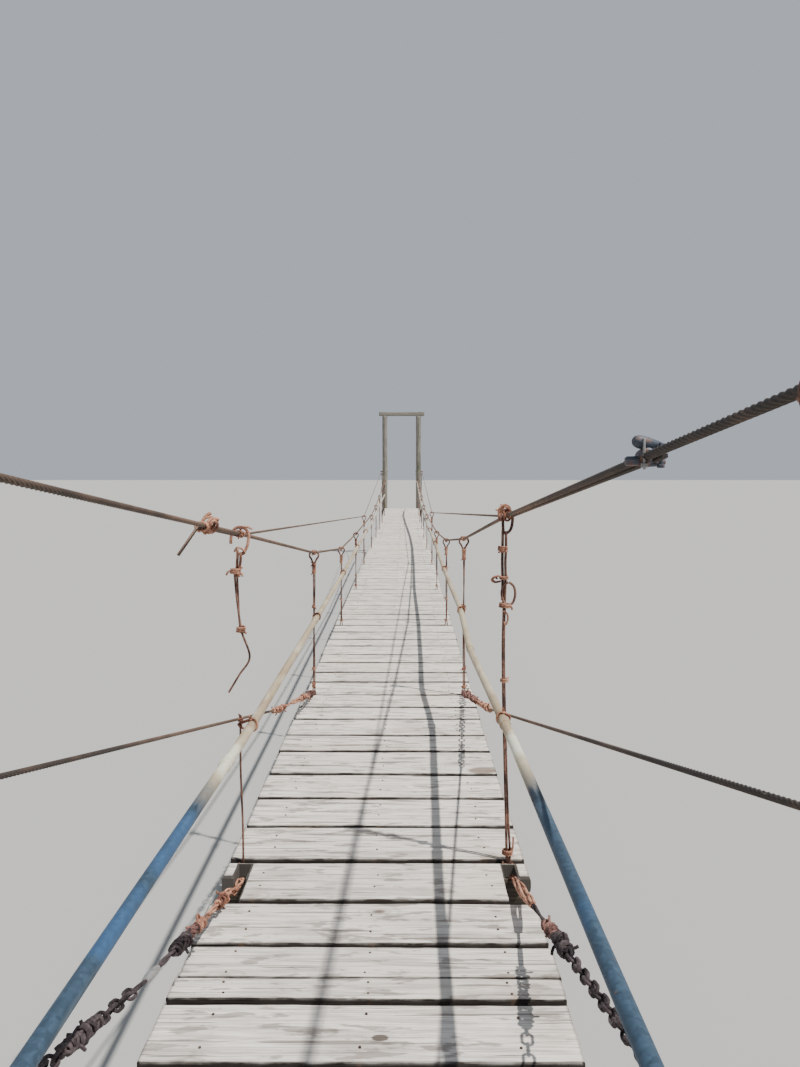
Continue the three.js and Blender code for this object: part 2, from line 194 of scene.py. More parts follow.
# A smooth run through the points, with several steps from one to the next.
def smooth(points, steps=6):
    last = len(points) - 1
    made = []
    for i in range(last):
        a, b, c, d = (points[min(max(i + k, 0), last)] for k in (-1, 0, 1, 2))
        for step in range(steps):
            t = step / steps
            bend = (2 * a - 5 * b + 4 * c - d) * t**2 + (3 * b - a - 3 * c + d) * t**3
            made.append(0.5 * (2 * b + (c - a) * t + bend))
    return made + [points[-1]]


# One value of a node tree. Arithmetic on it adds Math nodes.
class Field:
    def __init__(self, tree, socket):
        self.tree = tree
        self.socket = socket

    def __add__(self, other):
        return self.tree.maths("ADD", self, other)

    def __mul__(self, other):
        return self.tree.maths("MULTIPLY", self, other)

    __radd__ = __add__
    __rmul__ = __mul__

    def __sub__(self, other):
        return self.tree.maths("SUBTRACT", self, other)

    def __rsub__(self, other):
        return self.tree.maths("SUBTRACT", other, self)

    def __truediv__(self, other):
        return self.tree.maths("DIVIDE", self, other)

    def __pow__(self, other):
        return self.tree.maths("POWER", self, other)

    def __abs__(self):
        return self.tree.maths("ABSOLUTE", self)

    def sine(self):
        return self.tree.maths("SINE", self)

    def clamped(self):
        return self.tree.maths("ADD", self, 0.0, clamp=True)

    # From 0 at low to 1 at high in a soft step, falling where high is the lower one.
    def step(self, low, high):
        start, end = (0.0, 1.0) if low < high else (1.0, 0.0)
        values = {0: self, 1: min(low, high), 2: max(low, high), 3: start, 4: end}
        return self.tree.node("ShaderNodeMapRange", values, interpolation_type="SMOOTHSTEP")

    def part(self, index):
        return self.tree.node("ShaderNodeSeparateXYZ", {0: self}, index)

    def times(self, scale):
        return self.tree.node("ShaderNodeVectorMath", {0: self, 1: scale}, operation="MULTIPLY")

    def plus(self, other):
        return self.tree.node("ShaderNodeVectorMath", {0: self, 1: other}, operation="ADD")


class NodeTree:
    def __init__(self, tree):
        self.tree = tree

    def node(self, kind, values=None, output=0, **settings):
        made = self.tree.nodes.new(kind)
        for name, value in settings.items():
            setattr(made, name, value)
        for key, value in (values or {}).items():
            if isinstance(value, Field):
                self.tree.links.new(value.socket, made.inputs[key])
            else:
                made.inputs[key].default_value = value
        return Field(self, made.outputs[output])

    def maths(self, operation, *values, clamp=False):
        return self.node("ShaderNodeMath", dict(enumerate(values)), operation=operation, use_clamp=clamp)

    def vector(self, x, y, z):
        return self.node("ShaderNodeCombineXYZ", {0: x, 1: y, 2: z})

    # A scale of three numbers stretches the pattern along the axes.
    def texture(self, kind, place, scale, output=0, **values):
        if isinstance(scale, tuple):
            place = place.times(scale)
            scale = 1.0
        return self.node(kind, {"Vector": place, "Scale": scale, **values}, output)

    def noise(self, place, scale, detail=2.0, roughness=0.5):
        return self.texture("ShaderNodeTexNoise", place, scale, Detail=detail, Roughness=roughness)

    def cells(self, place, scale, output="Distance"):
        return self.texture("ShaderNodeTexVoronoi", place, scale, output)


# A material: one Principled shader whose sockets are fed by the expressions below.
class Finish(NodeTree):
    def __init__(self, name, specular):
        self.material = bpy.data.materials.new(name)
        self.material.use_nodes = True
        super().__init__(self.material.node_tree)
        self.shader = self.tree.nodes["Principled BSDF"]
        self.shader.inputs["Specular IOR Level"].default_value = specular
        self.place = self.node("ShaderNodeTexCoord", output="Object")

    def attribute(self, name, output="Fac"):
        return self.node("ShaderNodeAttribute", output=output, attribute_name=name)

    def mix(self, factor, first, second):
        first, second = (tone if isinstance(tone, Field) else (*tone, 1) for tone in (first, second))
        values = {0: factor, 6: first, 7: second}
        return self.node("ShaderNodeMix", values, 2, data_type="RGBA", clamp_factor=True)

    # Tones laid over a colour one after another, each as strong as its factor.
    def layered(self, colour, *layers):
        for factor, tone in layers:
            colour = self.mix(factor, colour, tone)
        return colour

    # The relief is a height, its strength and its depth in metres.
    def fed(self, relief, **sockets):
        sockets["Normal"] = self.node("ShaderNodeBump", dict(zip(("Height", "Strength", "Distance"), relief)))
        for name, value in sockets.items():
            self.tree.links.new(value.socket, self.shader.inputs[name.replace("_", " ")])
        return self.material


# A Geometry Nodes recipe with named inputs. It ends in real geometry with its material on it.
class Recipe(NodeTree):
    def __init__(self, name, **inputs):
        group = bpy.data.node_groups.new(name, "GeometryNodeTree")
        super().__init__(group)
        group.interface.new_socket("Geometry", in_out="OUTPUT", socket_type="NodeSocketGeometry")
        group.interface.new_socket("Geometry", in_out="INPUT", socket_type="NodeSocketGeometry")
        for label, (kind, value) in {**inputs, "finish": ("Material", None)}.items():
            socket = group.interface.new_socket(label, in_out="INPUT", socket_type="NodeSocket" + kind)
            if value is not None:
                socket.default_value = value
        self.start = group.nodes.new("NodeGroupInput")
        self.end = group.nodes.new("NodeGroupOutput")

    def given(self, label):
        return Field(self, self.start.outputs[label])

    def named(self, name, kind="FLOAT"):
        return self.node("GeometryNodeInputNamedAttribute", {"Name": name}, data_type=kind)

    def store(self, geometry, name, value, kind="FLOAT"):
        values = {0: geometry, 2: name, 3: value}
        return self.node("GeometryNodeStoreNamedAttribute", values, data_type=kind, domain="POINT")

    def curve(self):
        return self.node("GeometryNodeMeshToCurve", {0: self.given("Geometry")})

    def circle(self):
        values = {"Resolution": self.given("corners"), "Radius": 1.0}
        return self.node("GeometryNodeCurvePrimitiveCircle", values)

    def shapeOf(self, label):
        return self.node("GeometryNodeObjectInfo", {"Object": self.given(label)}, "Geometry")

    def realized(self, geometry):
        return self.node("GeometryNodeRealizeInstances", {0: geometry})

    def closed(self, geometry):
        done = self.node("GeometryNodeSetMaterial", {0: self.realized(geometry), 2: self.given("finish")})
        self.tree.links.new(done.socket, self.end.inputs[0])
        return self


def sourceMesh(points, edges=(), **attributes):
    mesh = bpy.data.meshes.new("source")
    mesh.from_pydata([tuple(p) for p in points], edges, [])
    for name, values in attributes.items():
        storeValues(mesh, name, values)
    return mesh


def storeValues(mesh, name, values):
    vector = hasattr(values[0], "__len__")
    kind, field = ("FLOAT_VECTOR", "vector") if vector else ("FLOAT", "value")
    flat = [x for value in values for x in value] if vector else values
    mesh.attributes.new(name, kind, "POINT").data.foreach_set(field, flat)


def pathMesh(path):
    return sourceMesh(path, [(i, i + 1) for i in range(len(path) - 1)])


# Several runs of points as one mesh of edges. Each is its points, its radius and True where it is closed.
def runsMesh(runs):
    points, edges, thickness = [], [], []
    for run, radius, *closed in runs:
        first = len(points)
        points += run
        thickness += [radius] * len(run)
        edges += [(i, i + 1) for i in range(first, len(points) - 1)]
        if closed:
            edges.append((len(points) - 1, first))
    return sourceMesh(points, edges, thickness=thickness)


def meshOf(shape, name):
    bmesh.ops.recalc_face_normals(shape, faces=shape.faces)
    mesh = bpy.data.meshes.new(name)
    shape.to_mesh(mesh)
    shape.free()
    return mesh


def shaded(mesh, sharpAngle):
    mesh.polygons.foreach_set("use_smooth", [True] * len(mesh.polygons))
    mesh.set_sharp_from_angle(angle=math.radians(sharpAngle))


# The material slot for each finish. The others are rusty wire and iron.
slots = {
    "boards": "weathered_boards",
    "beams": "beam_timber",
    "posts": "post_timber",
    "rope": "wire_rope",
    "zinc": "galvanised_pipe",
    "concrete": "anchor_concrete",
    "clip": "clip_steel",
    "bolt": "clip_steel",
}


def addPiece(name, mesh, finish, *nodes, sharpAngle=35, slot=None):
    piece = addObject(name, mesh)
    if not mesh.materials:
        mesh.materials.append(finishes[finish])
    shaded(mesh, sharpAngle)
    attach(piece, "root")
    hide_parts(*nodes)
    return piece


# Runs a recipe on a source mesh and keeps the result as a plain mesh.
def grow(name, source, recipe, finish, **values):
    holder = addObject(name, source)
    modifier = holder.modifiers.new("recipe", "NODES")
    modifier.node_group = recipe.tree
    values["finish"] = finishes[finish]
    for item in recipe.tree.interface.items_tree:
        if item.in_out == "INPUT" and item.name in values:
            modifier[item.identifier] = values[item.name]
    bpy.context.view_layer.update()
    graph = bpy.context.evaluated_depsgraph_get()
    mesh = bpy.data.meshes.new_from_object(holder.evaluated_get(graph))
    holder.modifiers.clear()
    bpy.data.objects.remove(holder)
    bpy.data.meshes.remove(source)
    mesh.name = name
    return mesh


print("frame read:", len(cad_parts), "nodes,", len(saddleBolts), "bolts")

# Finishes.
# Marks on single boards: place, reach across and along the bridge, tone and strength.
boardMarks = [
    (0.53, -8.774, (0.085, 0.045), (0.16, 0.11, 0.08), 0.8),
    (0.045, -10.80, (0.030, 0.016), (0.07, 0.05, 0.04), 0.9),
    (-0.33, -9.45, (0.11, 0.05), (0.42, 0.33, 0.25), 0.5),
    (0.12, -8.10, (0.10, 0.05), (0.45, 0.36, 0.27), 0.45),
]


def makeBoardFinish():
    pale = (0.90, 0.85, 0.79)
    grey = (0.74, 0.70, 0.65)
    line = (0.16, 0.13, 0.11)
    shade = (0.36, 0.33, 0.305)
    # painted shade: near-black tone for the boards' sides, undersides and rims, which lie in shade in the
    # gaps
    side = (0.034, 0.027, 0.023)
    warm = (0.66, 0.50, 0.36)
    knotTone = (0.10, 0.065, 0.045)
    rustStain = (0.40, 0.22, 0.12)
    wood = Finish("weatheredBoards", 0.2)
    place = wood.attribute("grainPlace", "Vector")
    local = wood.attribute("unitPlace", "Vector")
    seed = wood.attribute("boardSeed")
    wobble = wood.noise(place, (1.1, 3.0, 1.0)) - 0.5
    swirl = wood.noise(place, (3.4, 14.0, 6.0)) - 0.5
    depth = 0.03 + 0.10 * abs(wobble) + 0.05 * seed
    centre = local.part(1) * 0.3 + (seed - 0.5) * 0.22 + wobble * 0.10 + swirl * 0.016
    ring = (centre * centre + depth * depth) ** 0.5
    growth = ((ring * 760.0 + swirl * 2.4).sine() * 0.5 + 0.5) ** 3.0
    fibre = wood.noise(place, (4.0, 330.0, 260.0), 3.0, 0.7)
    thread = wood.noise(place, (2.4, 150.0, 120.0), 2.0, 0.6)
    streaks = wood.noise(place, (3.2, 44.0, 30.0), 3.0, 0.62)
    dashes = wood.noise(place, (6.5, 27.0, 20.0), 3.0, 0.60)
    bands = wood.noise(place, (1.3, 15.0, 9.0), 3.0, 0.60)
    crack = wood.noise(place, (1.7, 62.0, 40.0), 2.0, 0.55).step(0.635, 0.68)
    blotch = wood.noise(place, (1.6, 4.0, 3.0), 3.0, 0.6)
    cloud = wood.noise(wood.place, (3.1, 4.2, 1.0), 4.0, 0.62)
    tan = wood.noise(wood.place, (1.1, 1.6, 1.0), 3.0, 0.6)
    speckle = wood.noise(wood.place, (70.0, 70.0, 70.0), 2.0, 0.6)
    knots = wood.cells(place, (2.1, 4.6, 2.0))
    knot = knots.step(0.085, 0.03)
    knotRim = knots.step(0.24, 0.10) * (knots * 90.0).sine().step(-0.2, 0.9)
    marks = []
    for x, y, reach, tone, strength in boardMarks:
        away = wood.place.plus((-x, -y, 0.0)).times((1 / reach[0], 1 / reach[1], 0.0))
        distance = wood.node("ShaderNodeVectorMath", {0: away}, 1, operation="LENGTH")
        mark = (distance + (blotch - 0.5) * 0.9 + (fibre - 0.5) * 0.4).step(1.0, 0.75)
        marks.append((mark * strength, tone))
    edge = abs(local.part(1)).step(0.470, 0.497)
    ends = abs(local.part(0)).step(0.490, 0.5)
    ragged = wood.noise(place, (9.0, 30.0, 30.0), 3.0, 0.6)
    nailX = abs(abs(abs(wood.place.part(0)) - 0.22) - 0.22)
    streak = wood.noise(place, (26.0, 9.0, 9.0))
    worn = (seed * 0.55 + blotch * 0.7 - 0.12).clamped()
    colour = wood.layered(
        wood.mix(worn, grey, pale),
        (growth * 0.20, line),
        (fibre.step(0.56, 0.34) * 0.42, line),
        (thread.step(0.56, 0.68) * 0.55, line),
        (streaks.step(0.50, 0.60) * 0.50, shade),
        (bands.step(0.50, 0.64) * 0.38, shade),
        (dashes.step(0.555, 0.625) * 0.62, line),
        (cloud.step(0.50, 0.72) * 0.42, shade),
        (knotRim * 0.28, knotTone),
        (knot * 0.85, knotTone),
        (crack * 0.75, line),
        (tan.step(0.54, 0.76) * 0.28, warm),
        (speckle.step(0.68, 0.76) * 0.45, line),
        *marks,
        # painted shade with some dirt: rims and ends are darkened, and all of each board below its top skin
        # goes near black
        ((edge * ragged * 1.7 + ends * 0.6).clamped(), side),
        (local.part(2).step(0.44, 0.30) * 0.92, side),
        (nailX.step(0.030, 0.0) * streak.step(0.50, 0.75) * 0.16, rustStain),
    )
    height = growth * -0.2 + fibre * 0.9 - thread * 0.5 - crack * 1.6 - knot * 0.5
    return wood.fed((height, 0.9, 0.0032), Base_Color=colour, Roughness=0.82 + 0.14 * fibre)


def makeTimberFinish(name, pale, dark, wet):
    wood = Finish(name, 0.25)
    place = wood.attribute("grainPlace", "Vector")
    swirl = wood.noise(place, (2.2, 11.0, 11.0)) - 0.5
    grain = wood.noise(place.times((3.0, 120.0, 120.0)).plus(wood.vector(swirl, swirl, swirl)), 1.0, 3.0, 0.6)
    check = wood.noise(place, (1.2, 34.0, 34.0), 2.0, 0.6).step(0.62, 0.69)
    blotch = wood.noise(place, (2.0, 5.0, 5.0), 3.0, 0.6)
    colour = wood.layered(
        wood.mix(grain.step(0.3, 0.72), dark, pale),
        (blotch.step(0.45, 0.75) * 0.65, wet),
        (check * 0.85, (0.03, 0.022, 0.017)),
    )
    height = grain * 0.8 - check * 2.0 + blotch * 0.4
    return wood.fed((height, 1.0, 0.004), Base_Color=colour, Roughness=0.78 + 0.2 * grain)


def makeRustFinish(name, dark, mid, bright):
    rust = Finish(name, 0.4)
    patches = rust.noise(rust.place, 14.0, 4.0, 0.6)
    fine = rust.noise(rust.place, 190.0, 3.0, 0.7)
    pits = rust.noise(rust.place, 420.0, 2.0, 0.6)
    colour = rust.layered(
        rust.mix(patches.step(0.32, 0.55), dark, mid),
        ((patches * 0.6 + fine * 0.6 - 0.35).step(0.15, 0.42) * 0.9, bright),
        (pits.step(0.62, 0.75) * 0.6, dark),
    )
    return rust.fed((fine + pits * 0.6, 0.8, 0.0009), Base_Color=colour, Roughness=0.62 + 0.3 * fine,
                    Metallic=0.35 - 0.3 * patches.step(0.4, 0.6))


# The strands' crowns are worn pale; the dark in the grooves between them is rust and painted shade.
def makeRopeFinish(groove, crownTone, tan):
    steel = Finish("strandedRope", 0.5)
    crown = steel.attribute("crown")
    patches = steel.noise(steel.place.times((1.0, 0.8, 1.0)), 3.2, 4.0, 0.65)
    fine = steel.noise(steel.place, 120.0, 3.0, 0.7)
    strand = steel.attribute("strandPlace", "Vector")
    wires = steel.texture("ShaderNodeTexWave", strand, 0.5, Distortion=0.6, Detail=1.0)
    # painted shade: the rope is kept dark near the camera
    worn = steel.place.part(1).step(-11.0, -10.4)  # dark near the camera, tan from beam 2 on
    body = steel.mix((patches.step(0.46, 0.66) * 0.5 + worn * 0.62).clamped(), crownTone, tan)
    # painted shade: the groove tone fills the grooves and runs along the wires
    colour = steel.layered(groove, ((crown * 0.9 + fine * 0.35 - 0.12).clamped(), body),
                           (wires.step(0.55, 0.1) * 0.3, groove))
    return steel.fed((wires * 0.5 + fine * 0.5, 0.5, 0.0008), Base_Color=colour, Roughness=0.45 + 0.4 * fine,
                     Metallic=0.45 * crown)


# Galvanised pipe: blue-grey at the near end as painted shade and painted sky reflection, straw-coloured
# further on, with worn bright stretches and brown runs at the ties.
def makeZincFinish():
    zinc = Finish("dullZinc", 0.5)
    place = zinc.place
    y = place.part(1)
    flake = zinc.cells(place, 95.0, "Color").part(0)
    stain = zinc.noise(place.times((1.0, 0.55, 1.0)), 4.2, 4.0, 0.65)
    speck = zinc.noise(place, 60.0, 3.0, 0.7)
    streaks = zinc.noise(place, (26.0, 2.2, 26.0), 3.0, 0.6)
    spots = zinc.noise(place, (3.0, 2.4, 3.0), 3.0, 0.5)
    brown = zinc.noise(place, (3.0, 1.7, 3.0)).step(0.60, 0.68)
    stained = y + (stain - 0.5) * 0.5
    # painted shade and painted sky reflection: the near end is blue-grey, with bright blue spots
    blue = stained.step(-10.35, -10.70)
    bright = stained.step(-10.42, -10.30) * stained.step(-9.95, -10.1)
    twist = y.step(-10.72, -10.66) * y.step(-10.54, -10.60)
    bay = (y - towerY["near"]) / bayLength
    tied = abs(bay - zinc.maths("ROUND", bay)).step(0.045, 0.012) * speck.step(0.35, 0.6)
    paintedSkyBlue = zinc.layered(
        zinc.mix(flake * 0.5 + stain * 0.5, (0.034, 0.060, 0.092), (0.072, 0.124, 0.188)),
        (streaks.step(0.58, 0.76) * 0.5, (0.17, 0.22, 0.26)),
        (spots.step(0.54, 0.64) * 0.42, (0.060, 0.175, 0.40)),
    )
    colour = zinc.layered(
        zinc.mix(stain.step(0.36, 0.62), (0.50, 0.43, 0.31), (0.37, 0.29, 0.19)),
        (streaks.step(0.52, 0.72) * 0.6, (0.66, 0.62, 0.50)),
        (stained.step(-3.0, 1.5) * 0.65, (0.50, 0.49, 0.45)),
        (blue, paintedSkyBlue),
        (bright * 0.75, (0.74, 0.75, 0.62)),
        (twist * streaks.step(0.40, 0.52) * 0.9, (0.018, 0.035, 0.055)),
        (tied * 0.7, (0.20, 0.105, 0.06)),
        (brown * (1 - blue) * 0.55, (0.30, 0.20, 0.125)),
        (speck.step(0.60, 0.72) * stain.step(0.5, 0.7), (0.22, 0.11, 0.055)),
    )
    return zinc.fed((speck * 0.7 + stain * 0.4, 0.5, 0.001), Base_Color=colour,
                    Roughness=0.42 + 0.3 * stain + 0.1 * flake, Metallic=0.25 + 0.4 * blue)


def makeConcreteFinish():
    stone = Finish("boardCastConcrete", 0.25)
    cloud = stone.noise(stone.place, 2.4, 5.0, 0.6)
    grit = stone.noise(stone.place, 90.0, 4.0, 0.75)
    hole = stone.cells(stone.place, 34.0).step(0.17, 0.06)
    height = stone.place.part(2)
    seam = abs(stone.maths("FRACT", height * 8.0 + cloud * 0.15) - 0.5).step(0.46, 0.5)
    colour = stone.layered(
        stone.mix(cloud.step(0.3, 0.7), (0.36, 0.35, 0.32), (0.55, 0.53, 0.49)),
        (grit.step(0.35, 0.7) * 0.4, (0.62, 0.60, 0.56)),
        (height.step(0.22, 0.0) * cloud.step(0.3, 0.7) * 0.7, (0.16, 0.17, 0.12)),
        ((hole * 0.8 + seam * 0.35).clamped(), (0.12, 0.115, 0.10)),
    )
    relief = (grit * 0.5 - hole * 1.4 + seam * 0.8 + cloud * 0.3, 0.9, 0.004)
    return stone.fed(relief, Base_Color=colour, Roughness=0.86 + 0.1 * grit)


def makeClipFinish(name, dark, pale, rustiness):
    steel = Finish(name, 0.5)
    patch = steel.noise(steel.place, 32.0, 4.0, 0.65)
    fine = steel.noise(steel.place, 260.0, 3.0, 0.7)
    colour = steel.layered(
        steel.mix(fine, dark, pale),
        (patch.step(0.48, 0.64) * rustiness, (0.13, 0.060, 0.040)),
        ((patch * 0.6 + fine * 0.5).step(0.64, 0.76) * rustiness, (0.32, 0.18, 0.11)),
    )
    return steel.fed((fine + patch, 0.6, 0.0008), Base_Color=colour, Roughness=0.42 + 0.4 * patch,
                     Metallic=0.8 - 0.7 * patch.step(0.44, 0.6))


finishes = {
    "boards": makeBoardFinish(),
    # painted shade: beams, stringers and sills get near-black timber tones, with damp blotches
    "beams": makeTimberFinish("dampBeams", (0.09, 0.072, 0.056), (0.038, 0.03, 0.023), (0.026, 0.022, 0.017)),
    # The posts' grey is darkened, in part as painted shade.
    "posts": makeTimberFinish("greyPosts", (0.33, 0.31, 0.275), (0.155, 0.138, 0.115), (0.13, 0.14, 0.095)),
    "wire": makeRustFinish("darkRods", (0.035, 0.017, 0.015), (0.115, 0.050, 0.037), (0.30, 0.165, 0.12)),
    "tie": makeRustFinish("tieWire", (0.10, 0.036, 0.026), (0.30, 0.120, 0.078), (0.62, 0.36, 0.24)),
    # painted shade: the heavy chain and its wire are kept near black
    "heavy": makeRustFinish("oldChain", (0.009, 0.006, 0.008), (0.026, 0.018, 0.021), (0.088, 0.064, 0.068)),
    "clump": makeRustFinish("redWire", (0.035, 0.016, 0.016), (0.115, 0.050, 0.044), (0.31, 0.165, 0.135)),
    "chain": makeRustFinish("rustyChain", (0.06, 0.028, 0.020), (0.20, 0.082, 0.045), (0.48, 0.25, 0.14)),
    "rope": makeRopeFinish((0.014, 0.009, 0.008), (0.074, 0.056, 0.046), (0.33, 0.205, 0.145)),
    "zinc": makeZincFinish(),
    "concrete": makeConcreteFinish(),
    "clip": makeClipFinish("clampSteel", (0.040, 0.044, 0.058), (0.11, 0.13, 0.165), 1.0),
    "bolt": makeClipFinish("paleSteel", (0.20, 0.205, 0.215), (0.40, 0.40, 0.39), 0.45),
    "nails": makeRustFinish("oldNails", (0.03, 0.022, 0.018), (0.065, 0.045, 0.036), (0.11, 0.075, 0.055)),
}
print("finishes made:", len(finishes))


# Recipes.
def makeWireRecipe():
    recipe = Recipe("sweptWires", corners=("Int", 8))
    values = {0: recipe.curve(), 1: recipe.circle(), "Scale": recipe.named("thickness"), "Fill Caps": True}
    return recipe.closed(recipe.node("GeometryNodeCurveToMesh", values))


# Six strands laid round each other: a lobed section that turns as it runs.
def makeRopeRecipe():
    recipe = Recipe("laidRope", radius=("Float", 0.008), lay=("Float", 0.11), corners=("Int", 12),
                    step=("Float", 0.012), turned=("Float", 0.0), groove=("Float", 0.24))
    steps = {0: recipe.curve(), "Length": recipe.given("step")}
    curve = recipe.node("GeometryNodeResampleCurve", steps, mode="LENGTH")
    length = recipe.node("GeometryNodeSplineParameter", output="Length")
    tilt = length / recipe.given("lay") * math.tau + recipe.given("turned")
    curve = recipe.node("GeometryNodeSetCurveTilt", {0: curve, "Tilt": tilt})
    curve = recipe.store(curve, "ropeLength", length)
    place = recipe.node("GeometryNodeInputPosition")
    angle = recipe.maths("ARCTAN2", place.part(1), place.part(0))
    crown = 0.5 - recipe.maths("COSINE", angle * 6.0) * 0.5
    reach = recipe.given("radius") * (1.0 - recipe.given("groove") * (1.0 - crown))
    section = recipe.store(recipe.circle(), "crown", crown)
    section = recipe.store(section, "strandAngle", angle)
    shaped = recipe.vector(place.part(0) * reach, place.part(1) * reach, 0.0)
    section = recipe.node("GeometryNodeSetPosition", {0: section, "Position": shaped})
    swept = recipe.node("GeometryNodeCurveToMesh", {0: curve, 1: section, "Fill Caps": True})
    strand = recipe.vector(recipe.named("ropeLength") * 180.0, recipe.named("strandAngle") * 6.0, 0.0)
    return recipe.closed(recipe.store(swept, "strandPlace", strand, "FLOAT_VECTOR"))


# Links stand crosswise to each other along the run, each with a little play.
def makeChainRecipe():
    recipe = Recipe("chainLinks", pitch=("Float", 0.05), link=("Object", None), seed=("Int", 3))
    values = {"Curve": recipe.curve(), "Length": recipe.given("pitch")}
    spots = recipe.node("GeometryNodeCurveToPoints", values, "Points", mode="LENGTH")
    turned = Field(recipe, spots.socket.node.outputs["Rotation"])
    odd = recipe.maths("MODULO", recipe.node("GeometryNodeInputIndex"), 2.0)
    values = {2: -0.16, 3: 0.16, "Seed": recipe.given("seed")}
    loose = recipe.node("FunctionNodeRandomValue", values, 1, data_type="FLOAT")
    values = {"Axis": (0, 0, 1), "Angle": odd * (math.pi / 2) + 0.5 + loose}
    roll = recipe.node("FunctionNodeAxisAngleToRotation", values)
    turned = recipe.node("FunctionNodeRotateRotation", {0: turned, 1: roll}, rotation_space="LOCAL")
    values = {"Points": spots, "Instance": recipe.shapeOf("link"), "Rotation": turned}
    return recipe.closed(recipe.node("GeometryNodeInstanceOnPoints", values))


# Sawn timber from a unit block: stretched, then worn out of true at its faces, edges and ends.
def makeTimberRecipe():
    recipe = Recipe("sawnTimber", block=("Object", None), warp=("Float", 0.003), ragged=("Float", 0.004))
    warp, ragged = recipe.given("warp"), recipe.given("ragged")
    place = recipe.node("GeometryNodeInputPosition")
    shape = recipe.store(recipe.shapeOf("block"), "unitPlace", place, "FLOAT_VECTOR")
    turn, size, unit = (recipe.named(name, "FLOAT_VECTOR") for name in ("turn", "size", "unitPlace"))
    rotation = recipe.node("FunctionNodeEulerToRotation", {0: turn})
    values = {"Points": recipe.given("Geometry"), "Instance": shape, "Rotation": rotation, "Scale": size}
    real = recipe.realized(recipe.node("GeometryNodeInstanceOnPoints", values))
    seed = recipe.named("boardSeed")
    shifted = unit.times(size).plus(recipe.vector(seed * 37.0, seed * 71.0, seed * 13.0))
    real = recipe.store(real, "grainPlace", shifted, "FLOAT_VECTOR")
    slow = recipe.noise(shifted, (2.2, 6.0, 6.0), 1.0) - 0.5
    quick = recipe.noise(shifted, (15.0, 20.0, 20.0), 2.0, 0.6) - 0.5
    twist = recipe.noise(shifted, (0.9, 0.0, 0.0), 0.0) - 0.5
    edge = unit.part(1) * 2.0
    end = unit.part(0) * 2.0
    cup = edge * edge * (seed - 0.4) * warp * 1.2
    rise = slow * warp * 2.0 + twist * edge * warp * 2.4 - cup
    offset = recipe.vector(end * quick * ragged * 1.4, edge * (quick * ragged + slow * ragged * 1.2), rise)
    values = {"Vector": offset, "Rotation": turn}
    turned = recipe.node("ShaderNodeVectorRotate", values, rotation_type="EULER_XYZ")
    return recipe.closed(recipe.node("GeometryNodeSetPosition", {0: real, "Offset": turned}))


wireRecipe = makeWireRecipe()
ropeRecipe = makeRopeRecipe()
chainRecipe = makeChainRecipe()
timberRecipe = makeTimberRecipe()


# A cube one unit across, cut into so many cells along each axis.
def gridCube(cells):
    shape = bmesh.new()
    bmesh.ops.create_cube(shape, size=1)
    for axis, count in enumerate(cells):
        normal = [float(k == axis) for k in range(3)]
        for cut in range(1, count):
            place = [(cut / count - 0.5) * n for n in normal]
            everything = shape.verts[:] + shape.edges[:] + shape.faces[:]
            bmesh.ops.bisect_plane(shape, geom=everything, plane_co=place, plane_no=normal)
    return shape


def bevelRims(shape, offset, segments=2, profile=0.5):
    rims = [e for e in shape.edges if e.calc_face_angle(0) > 1]
    bmesh.ops.bevel(shape, geom=rims, offset=offset, segments=segments, profile=profile, affect="EDGES")


# A block one unit long, wide and high with rounded edges, for the timber recipe.
def unitBlock(name, cells, size, rounding, segments=2):
    shape = gridCube(cells)
    bmesh.ops.scale(shape, vec=size, verts=shape.verts)
    bevelRims(shape, rounding, segments)
    bmesh.ops.scale(shape, vec=[1 / s for s in size], verts=shape.verts)
    return addObject(name, meshOf(shape, name))


blocks = {
    "nearBoard": unitBlock("nearBoard", (34, 6, 2), (1.22, 0.3, 0.05), 0.006),
    "farBoard": unitBlock("farBoard", (16, 4, 1), (1.22, 0.3, 0.05), 0.006, 1),
    "stringer": unitBlock("stringer", (18, 1, 1), (2.2, 0.045, 0.095), 0.003, 1),
    "beam": unitBlock("beam", (22, 3, 3), (1.26, 0.1, 0.12), 0.006),
}


# Each member is its place, size, seed and turn. The wear is how far it is warped and how ragged it is.
def timberPiece(name, members, block, finish, node, wear, slot=None):
    places, sizes, seeds, turns = zip(*members)
    source = sourceMesh(places, size=sizes, turn=turns, boardSeed=seeds)
    mesh = grow(name, source, timberRecipe, finish, block=blocks[block], warp=wear[0], ragged=wear[1])
    return addPiece(name, mesh, finish, node, sharpAngle=55, slot=slot)


def wirePiece(name, runs, finish, node, corners=8):
    mesh = grow(name, runsMesh(runs), wireRecipe, finish, corners=corners)
    addPiece(name, mesh, finish, node, sharpAngle=50)


def ringOf(shape, centre, across, up, radius, corners):
    angles = [math.tau * k / corners for k in range(corners)]
    return [shape.verts.new(centre + spoke(across, up, angle) * radius) for angle in angles]


def skin(shape, rings):
    for a, b in zip(rings, rings[1:]):
        for k in range(len(a)):
            m = (k + 1) % len(a)
            shape.faces.new((a[k], a[m], b[m], b[k]))


# Turned parts: a profile of (distance along, radius) swept round an axis.
def lathe(shape, start, direction, profile, corners=20):
    direction = direction.normalized()
    across = direction.orthogonal().normalized()
    up = direction.cross(across)
    rings = [ringOf(shape, start + direction * at, across, up, radius, corners) for at, radius in profile]
    skin(shape, rings)
    shape.faces.new(rings[0][::-1])
    shape.faces.new(rings[-1])


